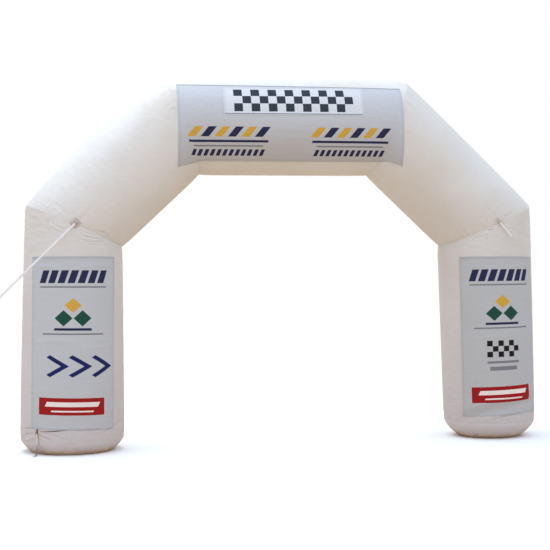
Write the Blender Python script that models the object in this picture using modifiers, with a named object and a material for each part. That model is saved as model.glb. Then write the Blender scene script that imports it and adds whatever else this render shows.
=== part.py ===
"""An air-filled archway: five round cloth tubes, mitred where they meet, standing on two flat-bottomed bases.

The arch stands in the XZ plane and faces -Y, and its origin is on the ground midway between its legs. Printed
banners lie stretched over the fronts of the crossbeam and of both legs. Webbing guys are tied to rings that are
sewn over the knees and above the left foot.
"""

import math
from collections import namedtuple

import bmesh
import bpy
from mathutils import Matrix, Vector

# Driving sizes, in metres.
KNEE_HALF_WIDTH = 2.61  # from the middle of the arch to a leg's axis at the knee
KNEE_HEIGHT = 2.705
SHOULDER_HALF_WIDTH = 1.315
SHOULDER_HEIGHT = 3.94
LEG_SPLAY = 0.048  # how much further out a leg's axis meets the ground
LEFT_BASE_HEIGHT = 0.145
RIGHT_BASE_HEIGHT = 0.20
PIECE_GAP = 0.0003
SEAM_DRAW = 0.010  # how far a seam pulls the tubes in
SEAM_REACH = 0.09  # how far from the seam that fades
TUBE_SIDES = 48
TUBE_RINGS = 8

BANNER_LIFT = 0.004  # from a tube to the back of the cloth on it
LEFT_DROOP = 0.11  # how far along its low edge a banner's left corner droops, as a share of the width
RIGHT_DROOP = 0.06
DROOP_BEND = 1.2  # how rounded the droop is, where 1 is straight
BANNER_THICKNESS = 0.002
HEADER_LIFT = 0.008
HEADER_THICKNESS = 0.0015

PATCH_SIDE = 0.10
PATCH_THICKNESS = 0.0015
TAB_LIFT = 0.007  # from a tube to the underside of a webbing tab
TAB_LENGTH = 0.042
TAB_WIDTH = 0.026
WEBBING_THICKNESS = 0.002
STRAP_WIDTH = 0.025
EYE_BORE = 0.0035  # radius of the hole in a webbing loop
EYE_RADIUS = EYE_BORE + WEBBING_THICKNESS
DOUBLED_LENGTH = 0.05  # where a strap's end is folded back and sewn down
RING_WIRE = 0.0025  # radius of a ring's wire
RING_REACH = 0.022  # between the middles of a ring's two straight bars
RING_WIDTH = 0.040
RING_CORNER = 0.006

Corner = namedtuple("Corner", "x z radius")
Section = namedtuple("Section", "name start end swell")
Base = namedtuple("Base", "name corner inset fullness")
Banner = namedtuple("Banner", "name left right low_left low_right top_left top_right droop_left droop_right")
Anchor = namedtuple("Anchor", "name x z aim_deg")
Strap = namedtuple("Strap", "name anchor tilt_deg route")


def leg_axis(z):
    """Distance from the middle of the arch to a leg's axis at height z."""
    return KNEE_HALF_WIDTH + LEG_SPLAY * (1 - z / KNEE_HEIGHT)


CORNERS = {
    "left foot": Corner(-leg_axis(LEFT_BASE_HEIGHT), LEFT_BASE_HEIGHT, 0.626),
    "left knee": Corner(-KNEE_HALF_WIDTH, KNEE_HEIGHT, 0.585),
    "left shoulder": Corner(-SHOULDER_HALF_WIDTH, SHOULDER_HEIGHT, 0.600),
    "right shoulder": Corner(SHOULDER_HALF_WIDTH, SHOULDER_HEIGHT, 0.600),
    "right knee": Corner(KNEE_HALF_WIDTH, KNEE_HEIGHT, 0.595),
    "right foot": Corner(leg_axis(RIGHT_BASE_HEIGHT), RIGHT_BASE_HEIGHT, 0.580),
}

# The tubes in order from the left foot to the right one. The outer side of each swells out halfway along.
SECTIONS = [
    Section("left_leg", "left foot", "left knee", 0.004),
    Section("left_haunch", "left knee", "left shoulder", 0.050),
    Section("crossbeam", "left shoulder", "right shoulder", 0.028),
    Section("right_haunch", "right shoulder", "right knee", 0.006),
    Section("right_leg", "right knee", "right foot", 0.004),
]

# Fullness 1 gives a straight chamfer and 2 a quarter ellipse.
BASES = [
    Base("left_base", "left foot", 0.13, 1.15),
    Base("right_base", "right foot", 0.20, 1.30),
]

# Across the beam a banner is measured along X, and its low and top edges as arcs above the beam's front line.
BEAM_BANNER = Banner("beam_banner", -1.39, 1.39, -0.525, -0.523, 0.506, 0.494, 0.156, 0.110)
HEADER_PANEL = Banner("header_panel", -0.845, 0.885, 0.070, 0.078, 0.464, 0.482, 0.0, 0.0)

# On a leg it is measured as arcs from the front line and its low and top edges as heights above the ground.
LEG_BANNERS = {
    "left_leg": Banner("left_leg_banner", -0.562, 0.530, 0.325, 0.292, 2.335, 2.327, 0.0, 0.0),
    "right_leg": Banner("right_leg_banner", -0.535, 0.552, 0.285, 0.335, 2.292, 2.285, 0.0, 0.0),
}

ANCHORS = [
    Anchor("left_knee", -2.605, 2.722, 224.5),
    Anchor("right_knee", 2.606, 2.720, 309.0),
    Anchor("left_foot", -3.069, 0.262, 270.0),
]

GUY_LENGTH = 1.30
# A route lists (distance along, height above) from the ring's outer bar, both in the strap's own directions.
GUY_ROUTE = [(0.0, 0.0), (GUY_LENGTH, 0.0)]
LOOSE_ROUTE = [(0.0, 0.0), (0.12, 0.004), (0.18, 0.002), (0.235, -0.009)]
FOOT_ROUTE = [(0.0, 0.0), (0.216, 0.0), (0.238, 0.010), (0.2468, 0.026), (0.2468, 0.06)]
STRAPS = [
    Strap("left_guy_strap", "left_knee", 14.0, GUY_ROUTE),
    Strap("right_knee_strap", "right_knee", 3.0, LOOSE_ROUTE),
    Strap("left_foot_strap", "left_foot", 0.0, FOOT_ROUTE),
]


class Tube:
    """A mitred length of tube. Angles run round it from its outer side, through the front, to its inner side."""

    def __init__(self, section):
        start, end = CORNERS[section.start], CORNERS[section.end]
        self.name = section.name
        self.swell = section.swell
        self.radii = (start.radius, end.radius)
        self.start = Vector((start.x, 0, start.z))
        run = Vector((end.x, 0, end.z)) - self.start
        self.length = run.length
        self.axis = run.normalized()
        self.outward = Vector((-self.axis.z, 0, self.axis.x))
        upright = Vector((0, 0, math.copysign(1, self.axis.z)))
        self.cuts = [upright, upright]

    def span(self, cosine):
        """Where a line along the tube starts and ends, given the cosine of its angle."""
        first, last = self.cuts
        ends = [radius - SEAM_DRAW for radius in self.radii]
        begin = (PIECE_GAP / 2 - ends[0] * cosine * self.outward.dot(first)) / self.axis.dot(first)
        stop = (-PIECE_GAP / 2 - ends[1] * cosine * self.outward.dot(last)) / self.axis.dot(last)
        return begin, self.length + stop

    def smooth_radius(self, cosine, share):
        """The radius at a share of the way along, as if no seam pulled it in."""
        share = min(max(share, 0), 1)
        full = self.radii[0] + (self.radii[1] - self.radii[0]) * share
        return full + self.swell * (1 - (2 * share - 1) ** 2) * (1 + cosine) / 2

    def radius(self, cosine, share):
        near = math.exp(-share * self.length / SEAM_REACH)
        far = math.exp(-(1 - share) * self.length / SEAM_REACH)
        return self.smooth_radius(cosine, share) - SEAM_DRAW * (near + far)

    def point(self, angle, share):
        cosine = math.cos(angle)
        begin, stop = self.span(cosine)
        radial = self.outward * cosine + Vector((0, -math.sin(angle), 0))
        return self.start + self.axis * (begin + (stop - begin) * share) + radial * self.radius(cosine, share)

    def holds(self, x, z):
        """Whether a place lies between the tube's two cuts, in a view from the front."""
        place = Vector((x, 0, z)) - self.start
        end = self.axis * self.length
        return place.dot(self.cuts[0]) >= 0 >= (place - end).dot(self.cuts[1])

    def front(self, x, z, lift):
        """The y of a cloth that lies over the tube's front with this lift."""
        place = Vector((x, 0, z)) - self.start
        along, out = place.dot(self.axis), place.dot(self.outward)
        radius = max(self.radii)
        for _ in range(4):
            cosine = max(-1, min(1, out / (radius + lift)))
            begin, stop = self.span(cosine)
            radius = self.smooth_radius(cosine, (along - begin) / (stop - begin))
        return -math.sqrt((radius + lift) ** 2 - out * out)


def make_tubes():
    tubes = [Tube(section) for section in SECTIONS]
    for first, second in zip(tubes, tubes[1:]):
        mitre = (first.axis + second.axis).normalized()
        first.cuts[1] = mitre
        second.cuts[0] = mitre
    return {tube.name: tube for tube in tubes}


def on_front(tubes, x, z, lift):
    """The point of a cloth stretched over the fronts of tubes that follow each other."""
    tube = next((tube for tube in tubes if tube.holds(x, z)), tubes[-1])
    return Vector((x, tube.front(x, z, lift), z))


def make_material(name, colour, roughness, metallic=0.0):
    material = bpy.data.materials.new(name)
    material.use_nodes = True
    shader = material.node_tree.nodes["Principled BSDF"]
    shader.inputs["Base Color"].default_value = (*colour, 1)
    shader.inputs["Roughness"].default_value = roughness
    shader.inputs["Metallic"].default_value = metallic
    material.diffuse_color = (*colour, 1)
    return material


class Model:
    """Puts finished shapes in one collection under one empty."""

    def __init__(self, name):
        self.parts = bpy.data.collections.new(name)
        bpy.context.scene.collection.children.link(self.parts)
        self.root = bpy.data.objects.new(f"{name} origin", None)
        self.parts.objects.link(self.root)

    def add(self, name, data, material, matrix):
        data.name = name
        data.materials.clear()
        data.materials.append(material)
        item = bpy.data.objects.new(name, data)
        self.parts.objects.link(item)
        item.parent = self.root
        item.matrix_world = matrix
        return item

    def add_mesh(self, name, shape, origin, material, smooth_deg=30):
        """Adds a bmesh whose points are in world space, with its object's origin at the given point."""
        bmesh.ops.translate(shape, verts=shape.verts, vec=-origin)
        mesh = bpy.data.meshes.new(name)
        shape.to_mesh(mesh)
        shape.free()
        mesh.shade_smooth()
        mesh.set_sharp_from_angle(angle=math.radians(smooth_deg))
        return self.add(name, mesh, material, Matrix.Translation(origin))


def add_tube(model, tube, material):
    """A cylinder, cut into rings, whose points move onto the mitred and swollen tube."""
    shape = bmesh.new()
    bmesh.ops.create_cone(shape, cap_ends=True, segments=TUBE_SIDES, radius1=1, radius2=1, depth=1)
    lengthwise = [edge for edge in shape.edges if abs(edge.verts[0].co.z - edge.verts[1].co.z) > 0.5]
    bmesh.ops.subdivide_edges(shape, edges=lengthwise, cuts=TUBE_RINGS)
    for vertex in shape.verts:
        # The rings stand closer together near the seams.
        share = (1 - math.cos(math.pi * (vertex.co.z + 0.5))) / 2
        vertex.co = tube.point(math.atan2(vertex.co.y, vertex.co.x), share)
    model.add_mesh(tube.name, shape, tube.start, material)


def add_base(model, base, material):
    """The closing panel under a leg, turned about the leg's axis."""
    corner = CORNERS[base.corner]
    top, rim = corner.z - PIECE_GAP / 2, corner.radius - SEAM_DRAW
    steps = 6
    profile = [Vector((0, 0, top))]
    for step in range(steps + 1):
        angle = math.radians(90 * step / steps)
        out = math.cos(angle) ** (2 / base.fullness)
        down = math.sin(angle) ** (2 / base.fullness)
        profile.append(Vector((rim - base.inset * (1 - out), 0, top * (1 - down))))
    profile.append(Vector((0, 0, 0)))
    shape = bmesh.new()
    points = [shape.verts.new(point) for point in profile]
    for first, second in zip(points, points[1:]):
        shape.edges.new((first, second))
    mesh = bpy.data.meshes.new(base.name)
    shape.to_mesh(mesh)
    shape.free()
    item = model.add(base.name, mesh, material, Matrix.Translation((corner.x, 0, 0)))
    screw = item.modifiers.new("Turn", "SCREW")
    screw.steps = screw.render_steps = TUBE_SIDES
    screw.use_merge_vertices = True
    screw.merge_threshold = 0.0001
    screw.use_smooth_shade = True


def add_sheet(model, name, columns, rows, place, thickness, material):
    """A cloth from a grid, where place gives the point for two shares, across and up."""
    shape = bmesh.new()
    bmesh.ops.create_grid(shape, x_segments=columns, y_segments=rows, size=0.5)
    for vertex in shape.verts:
        vertex.co = place(vertex.co.x + 0.5, vertex.co.y + 0.5)
    item = model.add_mesh(name, shape, place(0.5, 0.5), material)
    solidify = item.modifiers.new("Thickness", "SOLIDIFY")
    solidify.thickness = thickness
    solidify.offset = 1
    item.modifiers.new("Flat faces keep their shade", "WEIGHTED_NORMAL")


def banner_edges(banner, across):
    """The low and top edge of a banner at a share of the way across it."""
    low = banner.low_left + (banner.low_right - banner.low_left) * across
    low -= banner.droop_left * max(0, 1 - across / LEFT_DROOP) ** DROOP_BEND
    low -= banner.droop_right * max(0, 1 - (1 - across) / RIGHT_DROOP) ** DROOP_BEND
    return low, banner.top_left + (banner.top_right - banner.top_left) * across


def beam_place(banner, tubes, lift):
    radius = CORNERS["left shoulder"].radius
    over = [tubes[name] for name in ("left_haunch", "crossbeam", "right_haunch")]

    def place(across, up):
        low, top = banner_edges(banner, across)
        x = banner.left + (banner.right - banner.left) * across
        z = SHOULDER_HEIGHT + radius * math.sin((low + (top - low) * up) / radius)
        return on_front(over, x, z, lift)

    return place


def leg_point(tube, arc, z, lift):
    """The point on a leg's front at height z, an arc's length towards +X from its front line."""
    side = math.copysign(1, tube.start.x)
    radius = (tube.radii[0] + tube.radii[1]) / 2
    return on_front([tube], side * leg_axis(z) + radius * math.sin(arc / radius), z, lift)


def leg_place(banner, tube, lift):
    def place(across, up):
        low, top = banner_edges(banner, across)
        arc = banner.left + (banner.right - banner.left) * across
        return leg_point(tube, arc, low + (top - low) * up, lift)

    return place


def anchor_frame(anchor, tube):
    """The tube's point at an anchor, the way the anchor points along the cloth, and the way out of the cloth."""
    place = on_front([tube], anchor.x, anchor.z, 0)
    axis_x = math.copysign(leg_axis(anchor.z), anchor.x)
    out = Vector((place.x - axis_x, place.y, 0)).normalized()
    up = Vector((0, 0, 1))
    aim = math.radians(anchor.aim_deg)
    return place, up.cross(out) * math.cos(aim) + up * math.sin(aim), out


def turned(aim, out, tilt_deg):
    """The strap's direction and its upper side, when it lifts off the cloth by a tilt."""
    tilt = math.radians(tilt_deg)
    return aim * math.cos(tilt) + out * math.sin(tilt), out * math.cos(tilt) - aim * math.sin(tilt)


def placed(origin, x_way, y_way):
    axes = Matrix((x_way, y_way, x_way.cross(y_way))).transposed().to_4x4()
    return Matrix.Translation(origin) @ axes


def arc_points(centre, radius, start_deg, stop_deg, steps):
    angles = [math.radians(start_deg + (stop_deg - start_deg) * i / steps) for i in range(steps + 1)]
    return [(centre[0] + radius * math.cos(a), centre[1] + radius * math.sin(a)) for a in angles]


def flat_curve(outlines, width):
    """A 2D curve that fills the outlines, later ones as holes, and is as thick as the width."""
    curve = bpy.data.curves.new("outline", "CURVE")
    curve.dimensions = "2D"
    curve.fill_mode = "BOTH"
    curve.extrude = width / 2
    for outline in outlines:
        spline = curve.splines.new("POLY")
        spline.points.add(len(outline) - 1)
        for point, (x, y) in zip(spline.points, outline):
            point.co = (x, y, 0, 1)
        spline.use_cyclic_u = True
    return curve


def tab_curve():
    """Webbing folded round a ring's bar at the origin, and sewn flat behind it."""
    low, high = -EYE_RADIUS, -EYE_RADIUS + 2 * WEBBING_THICKNESS
    outer = [(-TAB_LENGTH, low), *arc_points((0, 0), EYE_RADIUS, -90, 165, 10), (-TAB_LENGTH, high)]
    return flat_curve([outer, arc_points((0, 0), EYE_BORE, 0, 330, 11)], TAB_WIDTH)


def offset_line(route, height):
    """The route moved sideways by a height, mitred at its bends."""
    points = [Vector(point) for point in route]
    moved = []
    for i, point in enumerate(points):
        before = (point - points[i - 1]).normalized() if i else None
        after = (points[i + 1] - point).normalized() if i + 1 < len(points) else None
        way = ((before or after) + (after or before)).normalized()
        normal = Vector((-way.y, way.x))
        stretch = 1 / way.dot(after or before)
        moved.append(tuple(point + normal * height * stretch))
    return moved


def strap_curve(route, far_eye):
    """Webbing along a route. A loop round the origin starts it, and a loop ends it where far_eye says so."""
    half = WEBBING_THICKNESS / 2
    first = DOUBLED_LENGTH
    upper = offset_line(route, half)[1:]
    lower = offset_line(route, -half)[1:]
    near = [(first, -half), (first, -2 * half), *arc_points((0, 0), EYE_RADIUS, -20, -340, 12), (first, half)]
    holes = [arc_points((0, 0), EYE_BORE, 0, 330, 11)]
    if far_eye:
        length = route[-1][0]
        far = arc_points((length, 0), EYE_RADIUS, 160, -160, 12)
        upper = [(length - first, half)]
        lower = [*far, (length - first, -2 * half), (length - first, -half)]
        holes.append(arc_points((length, 0), EYE_BORE, 0, 330, 11))
        return flat_curve([near + upper + lower, *holes], STRAP_WIDTH)
    return flat_curve([near + upper + lower[::-1], *holes], STRAP_WIDTH)


def ring_curve():
    """A rectangular wire ring. One bar lies on the local Z axis and the other at RING_REACH along X."""
    curve = bpy.data.curves.new("ring", "CURVE")
    curve.dimensions = "3D"
    curve.bevel_depth = RING_WIRE
    curve.bevel_resolution = 2
    half = RING_WIDTH / 2 - RING_CORNER
    corners = [(RING_REACH - RING_CORNER, half, 0), (RING_CORNER, half, 90),
               (RING_CORNER, -half, 180), (RING_REACH - RING_CORNER, -half, 270)]
    outline = []
    for x, z, start in corners:
        outline += arc_points((x, z), RING_CORNER, start, start + 90, 3)
    spline = curve.splines.new("POLY")
    spline.points.add(len(outline) - 1)
    for point, (x, z) in zip(spline.points, outline):
        point.co = (x, 0, z, 1)
    spline.use_cyclic_u = True
    return curve


def add_anchor(model, anchor, tube, materials):
    """A square patch in line with the pull, a tab sewn on it and the ring that the tab holds. Returns the strap's start."""
    place, aim, out = anchor_frame(anchor, tube)
    near_arc = math.asin((anchor.x - math.copysign(leg_axis(anchor.z), anchor.x)) / tube.radii[0]) * tube.radii[0]
    turn = math.radians(anchor.aim_deg)

    def patch_place(across, up):
        along, aside = (across - 0.5) * PATCH_SIDE, (up - 0.5) * PATCH_SIDE
        arc = near_arc + along * math.cos(turn) - aside * math.sin(turn)
        return leg_point(tube, arc, anchor.z + along * math.sin(turn) + aside * math.cos(turn), BANNER_LIFT)

    add_sheet(model, f"{anchor.name}_patch", 4, 4, patch_place, PATCH_THICKNESS, materials["patch"])
    bar = place + out * (TAB_LIFT + EYE_RADIUS) - aim * RING_REACH / 2
    model.add(f"{anchor.name}_tab", tab_curve(), materials["webbing"], placed(bar, aim, out))
    model.add(f"{anchor.name}_ring", ring_curve(), materials["steel"], placed(bar, aim, out))
    return bar + aim * RING_REACH, aim, out


def main():
    for item in list(bpy.data.objects):
        bpy.data.objects.remove(item)
    materials = {
        "tube": make_material("tube cloth", (0.72, 0.69, 0.64), 0.55),
        "banner": make_material("banner cloth", (0.52, 0.54, 0.62), 0.7),
        "header": make_material("header cloth", (0.78, 0.78, 0.80), 0.6),
        "patch": make_material("patch cloth", (0.50, 0.47, 0.44), 0.65),
        "webbing": make_material("webbing", (0.75, 0.76, 0.82), 0.75),
        "steel": make_material("ring steel", (0.35, 0.34, 0.33), 0.35, 1.0),
    }
    model = Model("inflatable_arch")
    tubes = make_tubes()
    for tube in tubes.values():
        add_tube(model, tube, materials["tube"])
    for base in BASES:
        add_base(model, base, materials["tube"])
    beam = beam_place(BEAM_BANNER, tubes, BANNER_LIFT)
    add_sheet(model, BEAM_BANNER.name, 28, 14, beam, BANNER_THICKNESS, materials["banner"])
    header = beam_place(HEADER_PANEL, tubes, HEADER_LIFT)
    add_sheet(model, HEADER_PANEL.name, 12, 5, header, HEADER_THICKNESS, materials["header"])
    for leg, banner in LEG_BANNERS.items():
        place = leg_place(banner, tubes[leg], BANNER_LIFT)
        add_sheet(model, banner.name, 12, 6, place, BANNER_THICKNESS, materials["banner"])
    ends = {}
    for anchor in ANCHORS:
        leg = "left_leg" if anchor.x < 0 else "right_leg"
        ends[anchor.name] = add_anchor(model, anchor, tubes[leg], materials)
    for strap in STRAPS:
        start, aim, out = ends[strap.anchor]
        way, upper = turned(aim, out, strap.tilt_deg)
        has_ring = strap.name == "left_guy_strap"
        matrix = placed(start, way, upper)
        model.add(strap.name, strap_curve(strap.route, has_ring), materials["webbing"], matrix)
        if has_ring:
            end = start + way * strap.route[-1][0]
            model.add("left_guy_ring", ring_curve(), materials["steel"], placed(end, way, upper))


main()
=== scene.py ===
"""Dresses the inflatable arch: air-filled cloth tubes, banners, webbing guys and rings on a pale floor."""

import math
from collections import namedtuple

import bmesh
import bpy
import numpy as np
from mathutils import Matrix, Vector
from mathutils.bvhtree import BVHTree


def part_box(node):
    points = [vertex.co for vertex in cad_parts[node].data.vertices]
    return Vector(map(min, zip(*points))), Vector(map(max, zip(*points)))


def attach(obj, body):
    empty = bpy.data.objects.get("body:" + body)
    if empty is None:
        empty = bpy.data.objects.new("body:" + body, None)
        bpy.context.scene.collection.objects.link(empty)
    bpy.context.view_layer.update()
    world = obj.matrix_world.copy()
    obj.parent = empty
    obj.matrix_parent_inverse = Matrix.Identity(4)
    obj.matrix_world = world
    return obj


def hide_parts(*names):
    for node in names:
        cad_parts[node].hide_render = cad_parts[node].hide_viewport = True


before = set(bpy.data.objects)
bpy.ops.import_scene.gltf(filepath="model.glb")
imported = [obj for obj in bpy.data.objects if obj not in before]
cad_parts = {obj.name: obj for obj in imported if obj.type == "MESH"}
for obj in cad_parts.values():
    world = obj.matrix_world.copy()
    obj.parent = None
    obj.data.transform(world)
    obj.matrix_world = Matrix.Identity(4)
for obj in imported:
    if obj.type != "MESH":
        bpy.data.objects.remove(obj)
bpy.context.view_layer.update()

# ---------------------------------------------------------------- sizes, in metres
KNEE_HALF_WIDTH = 2.61  # from the middle of the arch to a leg's axis at the knee
KNEE_HEIGHT = 2.705
SHOULDER_HALF_WIDTH = 1.315
SHOULDER_HEIGHT = 3.94
LEG_SPLAY = 0.048  # how much further out a leg's axis meets the ground than it stands at the knee
LEFT_BASE_HEIGHT = 0.145
RIGHT_BASE_HEIGHT = 0.20

PIECE_GAP = 0.00006
SEAM_DRAW = 0.010  # how far a seam pulls the cloth in
SEAM_REACH = 0.09
PUCKER_REACH = 0.055
RIPPLE_REACH = 0.04  # how near a seam the ripples die out
CREASE_REACH = 0.012  # how near a seam the creases die out
TUBE_SIDES = 280
HOOP_PITCH = 0.017  # between the rings of points along a tube
HOOP_CROWDING = 0.35  # how much closer they stand at the seams than on average
# Each pair halves the cells beside the creases that are no wider than the first, within reach of the second.
CREASE_CELLS = [(0.050, 0.020), (0.017, 0.008), (0.0095, 0.003)]
FRONT_EDGE = 4  # how quickly a crease sets in where the cloth turns to the front
FRONT_LIMIT = -0.1  # cells are halved only in front of this
CREASE_TAPER = 0.6  # how blunt a crease's ends are, where 1 is a plain half wave
CLOTH_EDGE_DEG = 50  # the bend past which cloth shows an edge
WEBBING_EDGE_DEG = 60

BASE_SIDES = 240
BASE_STEPS = 36
PLEATS = (7, 11, 17, 29, 43)  # how many of each kind of pleat go round a base
PLEAT_DEPTH = 0.018  # as a share of the base's radius
SAG_COUNT = 13
SAG_DEPTH = 0.02  # as a share of the cloth's height over the ground
UNDERSIDE_ROWS = (0.9, 0.7, 0.4)  # of points, as shares of the underside's radius

BANNER_LIFT = 0.003
BANNER_THICKNESS = 0.0016
HEADER_LIFT = 0.0012  # over the beam banner
LEFT_DROOP = 0.11  # how far along its low edge a banner's left corner droops, as a share of the width
RIGHT_DROOP = 0.06
DROOP_BEND = 1.2  # how rounded the droop is, where 1 is straight
HEM_WIDTH = 0.028
HEM_STEP = 0.0009  # how much thicker a hem is
HEM_EDGE = 0.002
HEM_ROWS = (0.006, HEM_WIDTH - 0.005)  # its two rows of stitches, from the banner's edge
TOP_SHADOW_LINE = 0.014  # the painted shadow line along the top edge of a hem
TOP_LINE_SHARE = 1.35  # how dark it is, for each unit of shade that the banner has at its foot
TOP_LINE_SOLID = 0.6  # how much of its width is at its darkest
BANNER_CELL = 0.016
BANNER_ROUNDS = 12  # of smoothing, which lets a banner span the dips in the tube
BANNER_SINK = 0.4  # how much of its lift a banner may lose by that

PATCH_SIDE = 0.10
PATCH_CELLS = 20
PATCH_LIFT = 0.0008
PATCH_PULL = 0.0042  # how far a patch's middle stands over the tube's full round
PATCH_RISE = 2.6  # how steeply a patch rises from its edges, where 2 peaks at its very middle
PATCH_THICKNESS = 0.0014
RING_STAND = 0.0125  # how far a ring's middle stands off the tube's full round

WEBBING_THICKNESS = 0.002
WEBBING_FILL = 0.9  # how much of its thickness the webbing takes up, so that two layers stay apart
WEBBING_EDGE = 0.93  # how far across its half width it stays flat
STRAP_WIDTH = 0.025
TAB_WIDTH = 0.026
TAB_LENGTH = 0.042
TAB_NECKS = (0.008, 0.010)  # where a tab's lower and upper layers leave its eye
TAB_LAYER = WEBBING_THICKNESS * 1.05  # between those layers
EYE_BORE = 0.0035
EYE_MIDDLE = EYE_BORE + WEBBING_THICKNESS / 2
EYE_STEPS = 10
STRAP_EYE_DEG = (-60, -300)  # where a strap's eye starts and stops round its middle
TAB_EYE_DEG = (-90, 150)
BEND_ROUNDS = 3  # of cutting corners, which rounds a route's bends
FOLD_LENGTH = 0.05  # where a strap's end is folded back and sewn down
NARROW_END = 0.012  # where a strap's two layers leave its eye
FINE_STEP = 0.004  # between a strap's rings of points where it bends sharply
STRAP_STEP = 0.02
PATH_STEP = 0.03
GUY_SPLICE = 0.03  # before the guy's end, where the points of its far fold take over
RING_WIRE = 0.0025
RING_REACH = 0.022
RING_WIDTH = 0.040
RING_CORNER = 0.006
CORNER_STEPS = 8
WIRE_ROUNDNESS = 6

STITCH_PITCH = 0.009
STITCH_LENGTH = 0.0062
STITCH_RADIUS = 0.0006
STITCH_WOBBLE = 0.05
SEAM_ROWS = (0.010, 0.026)  # the rows of stitches beside a seam, from the cut
SEAM_POINTS = 180
SEAM_THREAD_LIFT = 0.0003
HEM_THREAD_LIFT = 0.0002
HEM_POINTS = (80, 60)  # across and up

RAY_START = -3
NUDGES = (0.0, 0.002, -0.002, 0.004, -0.004)  # tried in turn where a ray slips through between two pieces
WIDEST_FACE = 8  # corners, as only the caps have more

Corner = namedtuple("Corner", "x z radius")
Section = namedtuple("Section", "name start end swell pucker ripple seed")
Base = namedtuple("Base", "name corner inset fullness seed")
Crease = namedtuple("Crease", "x0 z0 x1 z1 bow width depth soil")
Banner = namedtuple("Banner", "node left right low_left low_right top_left top_right droop_left droop_right")
Anchor = namedtuple("Anchor", "name aim_deg")
Print = namedtuple("Print", "kind x y width height detail colour")


def leg_axis(z):
    return KNEE_HALF_WIDTH + LEG_SPLAY * (1 - z / KNEE_HEIGHT)


CORNERS = {
    "left foot": Corner(-leg_axis(LEFT_BASE_HEIGHT), LEFT_BASE_HEIGHT, 0.626),
    "left knee": Corner(-KNEE_HALF_WIDTH, KNEE_HEIGHT, 0.585),
    "left shoulder": Corner(-SHOULDER_HALF_WIDTH, SHOULDER_HEIGHT, 0.600),
    "right shoulder": Corner(SHOULDER_HALF_WIDTH, SHOULDER_HEIGHT, 0.600),
    "right knee": Corner(KNEE_HALF_WIDTH, KNEE_HEIGHT, 0.595),
    "right foot": Corner(leg_axis(RIGHT_BASE_HEIGHT), RIGHT_BASE_HEIGHT, 0.580),
}

SECTIONS = [
    Section("left_leg", "left foot", "left knee", 0.004, 0.020, 0.0045, 3),
    Section("left_haunch", "left knee", "left shoulder", 0.050, 0.018, 0.0034, 11),
    Section("crossbeam", "left shoulder", "right shoulder", 0.028, 0.016, 0.0026, 23),
    Section("right_haunch", "right shoulder", "right knee", 0.006, 0.018, 0.0034, 37),
    Section("right_leg", "right knee", "right foot", 0.004, 0.020, 0.0045, 41),
]

BASES = [
    Base("left_base", "left foot", 0.13, 1.15, 5),
    Base("right_base", "right foot", 0.20, 1.30, 9),
]

# Soft troughs, and ridges with a negative depth, as seen from the front. The bow bends one sideways, and the
# soil is how dark the crease is painted: painted shade in the fold.
CREASES = [
    # the slack cloth that lies along the left knee's seam
    Crease(-2.56, 2.700, -2.37, 2.625, -0.012, 0.009, 0.0060, 0.22),
    Crease(-2.40, 2.640, -2.19, 2.575, 0.010, 0.008, 0.0055, 0.22),
    # the curved drag lines under it
    Crease(-2.54, 2.630, -2.20, 2.575, -0.018, 0.009, 0.0045, 0.07),
    Crease(-2.55, 2.585, -2.21, 2.560, -0.026, 0.009, 0.0055, 0.11),
    Crease(-2.58, 2.545, -2.20, 2.530, -0.034, 0.010, 0.0060, 0.13),
    Crease(-2.53, 2.497, -2.26, 2.488, -0.024, 0.010, 0.0035, 0.06),
    # the rounds of cloth that the guy draws towards its anchor
    Crease(-2.88, 2.735, -2.68, 2.660, -0.026, 0.010, 0.0030, 0.05),
    Crease(-2.92, 2.700, -2.69, 2.615, -0.034, 0.010, 0.0028, 0.05),
    Crease(-2.94, 2.655, -2.72, 2.565, -0.040, 0.011, 0.0026, 0.03),
    Crease(-2.66, 2.790, -2.86, 2.990, 0.010, 0.016, 0.0035, 0.00),
    Crease(-2.60, 2.800, -2.60, 3.030, -0.010, 0.016, 0.0035, 0.00),
    Crease(-2.55, 2.780, -2.38, 2.950, -0.010, 0.015, 0.0030, 0.00),
    # the right knee's, fainter
    Crease(2.40, 2.634, 2.55, 2.642, 0.003, 0.009, -0.0085, 0.00),
    Crease(2.39, 2.614, 2.55, 2.621, 0.003, 0.008, 0.0060, 0.06),
    Crease(2.54, 2.590, 2.27, 2.530, 0.022, 0.011, 0.0034, 0.03),
    Crease(2.52, 2.545, 2.24, 2.480, 0.030, 0.012, 0.0028, 0.02),
    Crease(2.57, 2.780, 2.40, 2.960, 0.010, 0.015, 0.0035, 0.00),
    Crease(2.66, 2.770, 2.85, 2.890, -0.010, 0.014, 0.0035, 0.05),
    Crease(2.70, 2.660, 2.90, 2.560, 0.020, 0.014, 0.0030, 0.05),
    # the sharp fold that the left foot's strap pulls across under the banner, and the slack beside it
    Crease(-3.065, 0.283, -2.715, 0.313, -0.004, 0.0065, 0.0140, 1.00),
    Crease(-2.800, 0.308, -2.200, 0.286, 0.006, 0.007, 0.0050, 0.22),
    Crease(-3.235, 0.296, -3.100, 0.326, 0.003, 0.009, 0.0070, 0.28),
    Crease(-3.240, 0.214, -3.095, 0.270, 0.006, 0.010, 0.0070, 0.28),
    Crease(-3.215, 0.160, -3.090, 0.232, 0.000, 0.014, -0.0080, 0.00),
    Crease(-3.045, 0.240, -2.900, 0.160, 0.012, 0.012, 0.0060, 0.15),
    Crease(-3.040, 0.262, -2.780, 0.215, 0.012, 0.014, 0.0050, 0.06),
    Crease(-2.300, 0.240, -2.060, 0.360, 0.020, 0.020, 0.0060, 0.10),
    # the slack diagonal fold low on the right leg
    Crease(2.18, 0.27, 3.20, 0.47, 0.040, 0.050, 0.0220, 0.00),
    Crease(2.14, 0.37, 3.18, 0.60, 0.035, 0.040, -0.0130, 0.00),
    Crease(2.40, 0.22, 3.10, 0.36, 0.020, 0.020, 0.0060, 0.08),
]

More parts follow.
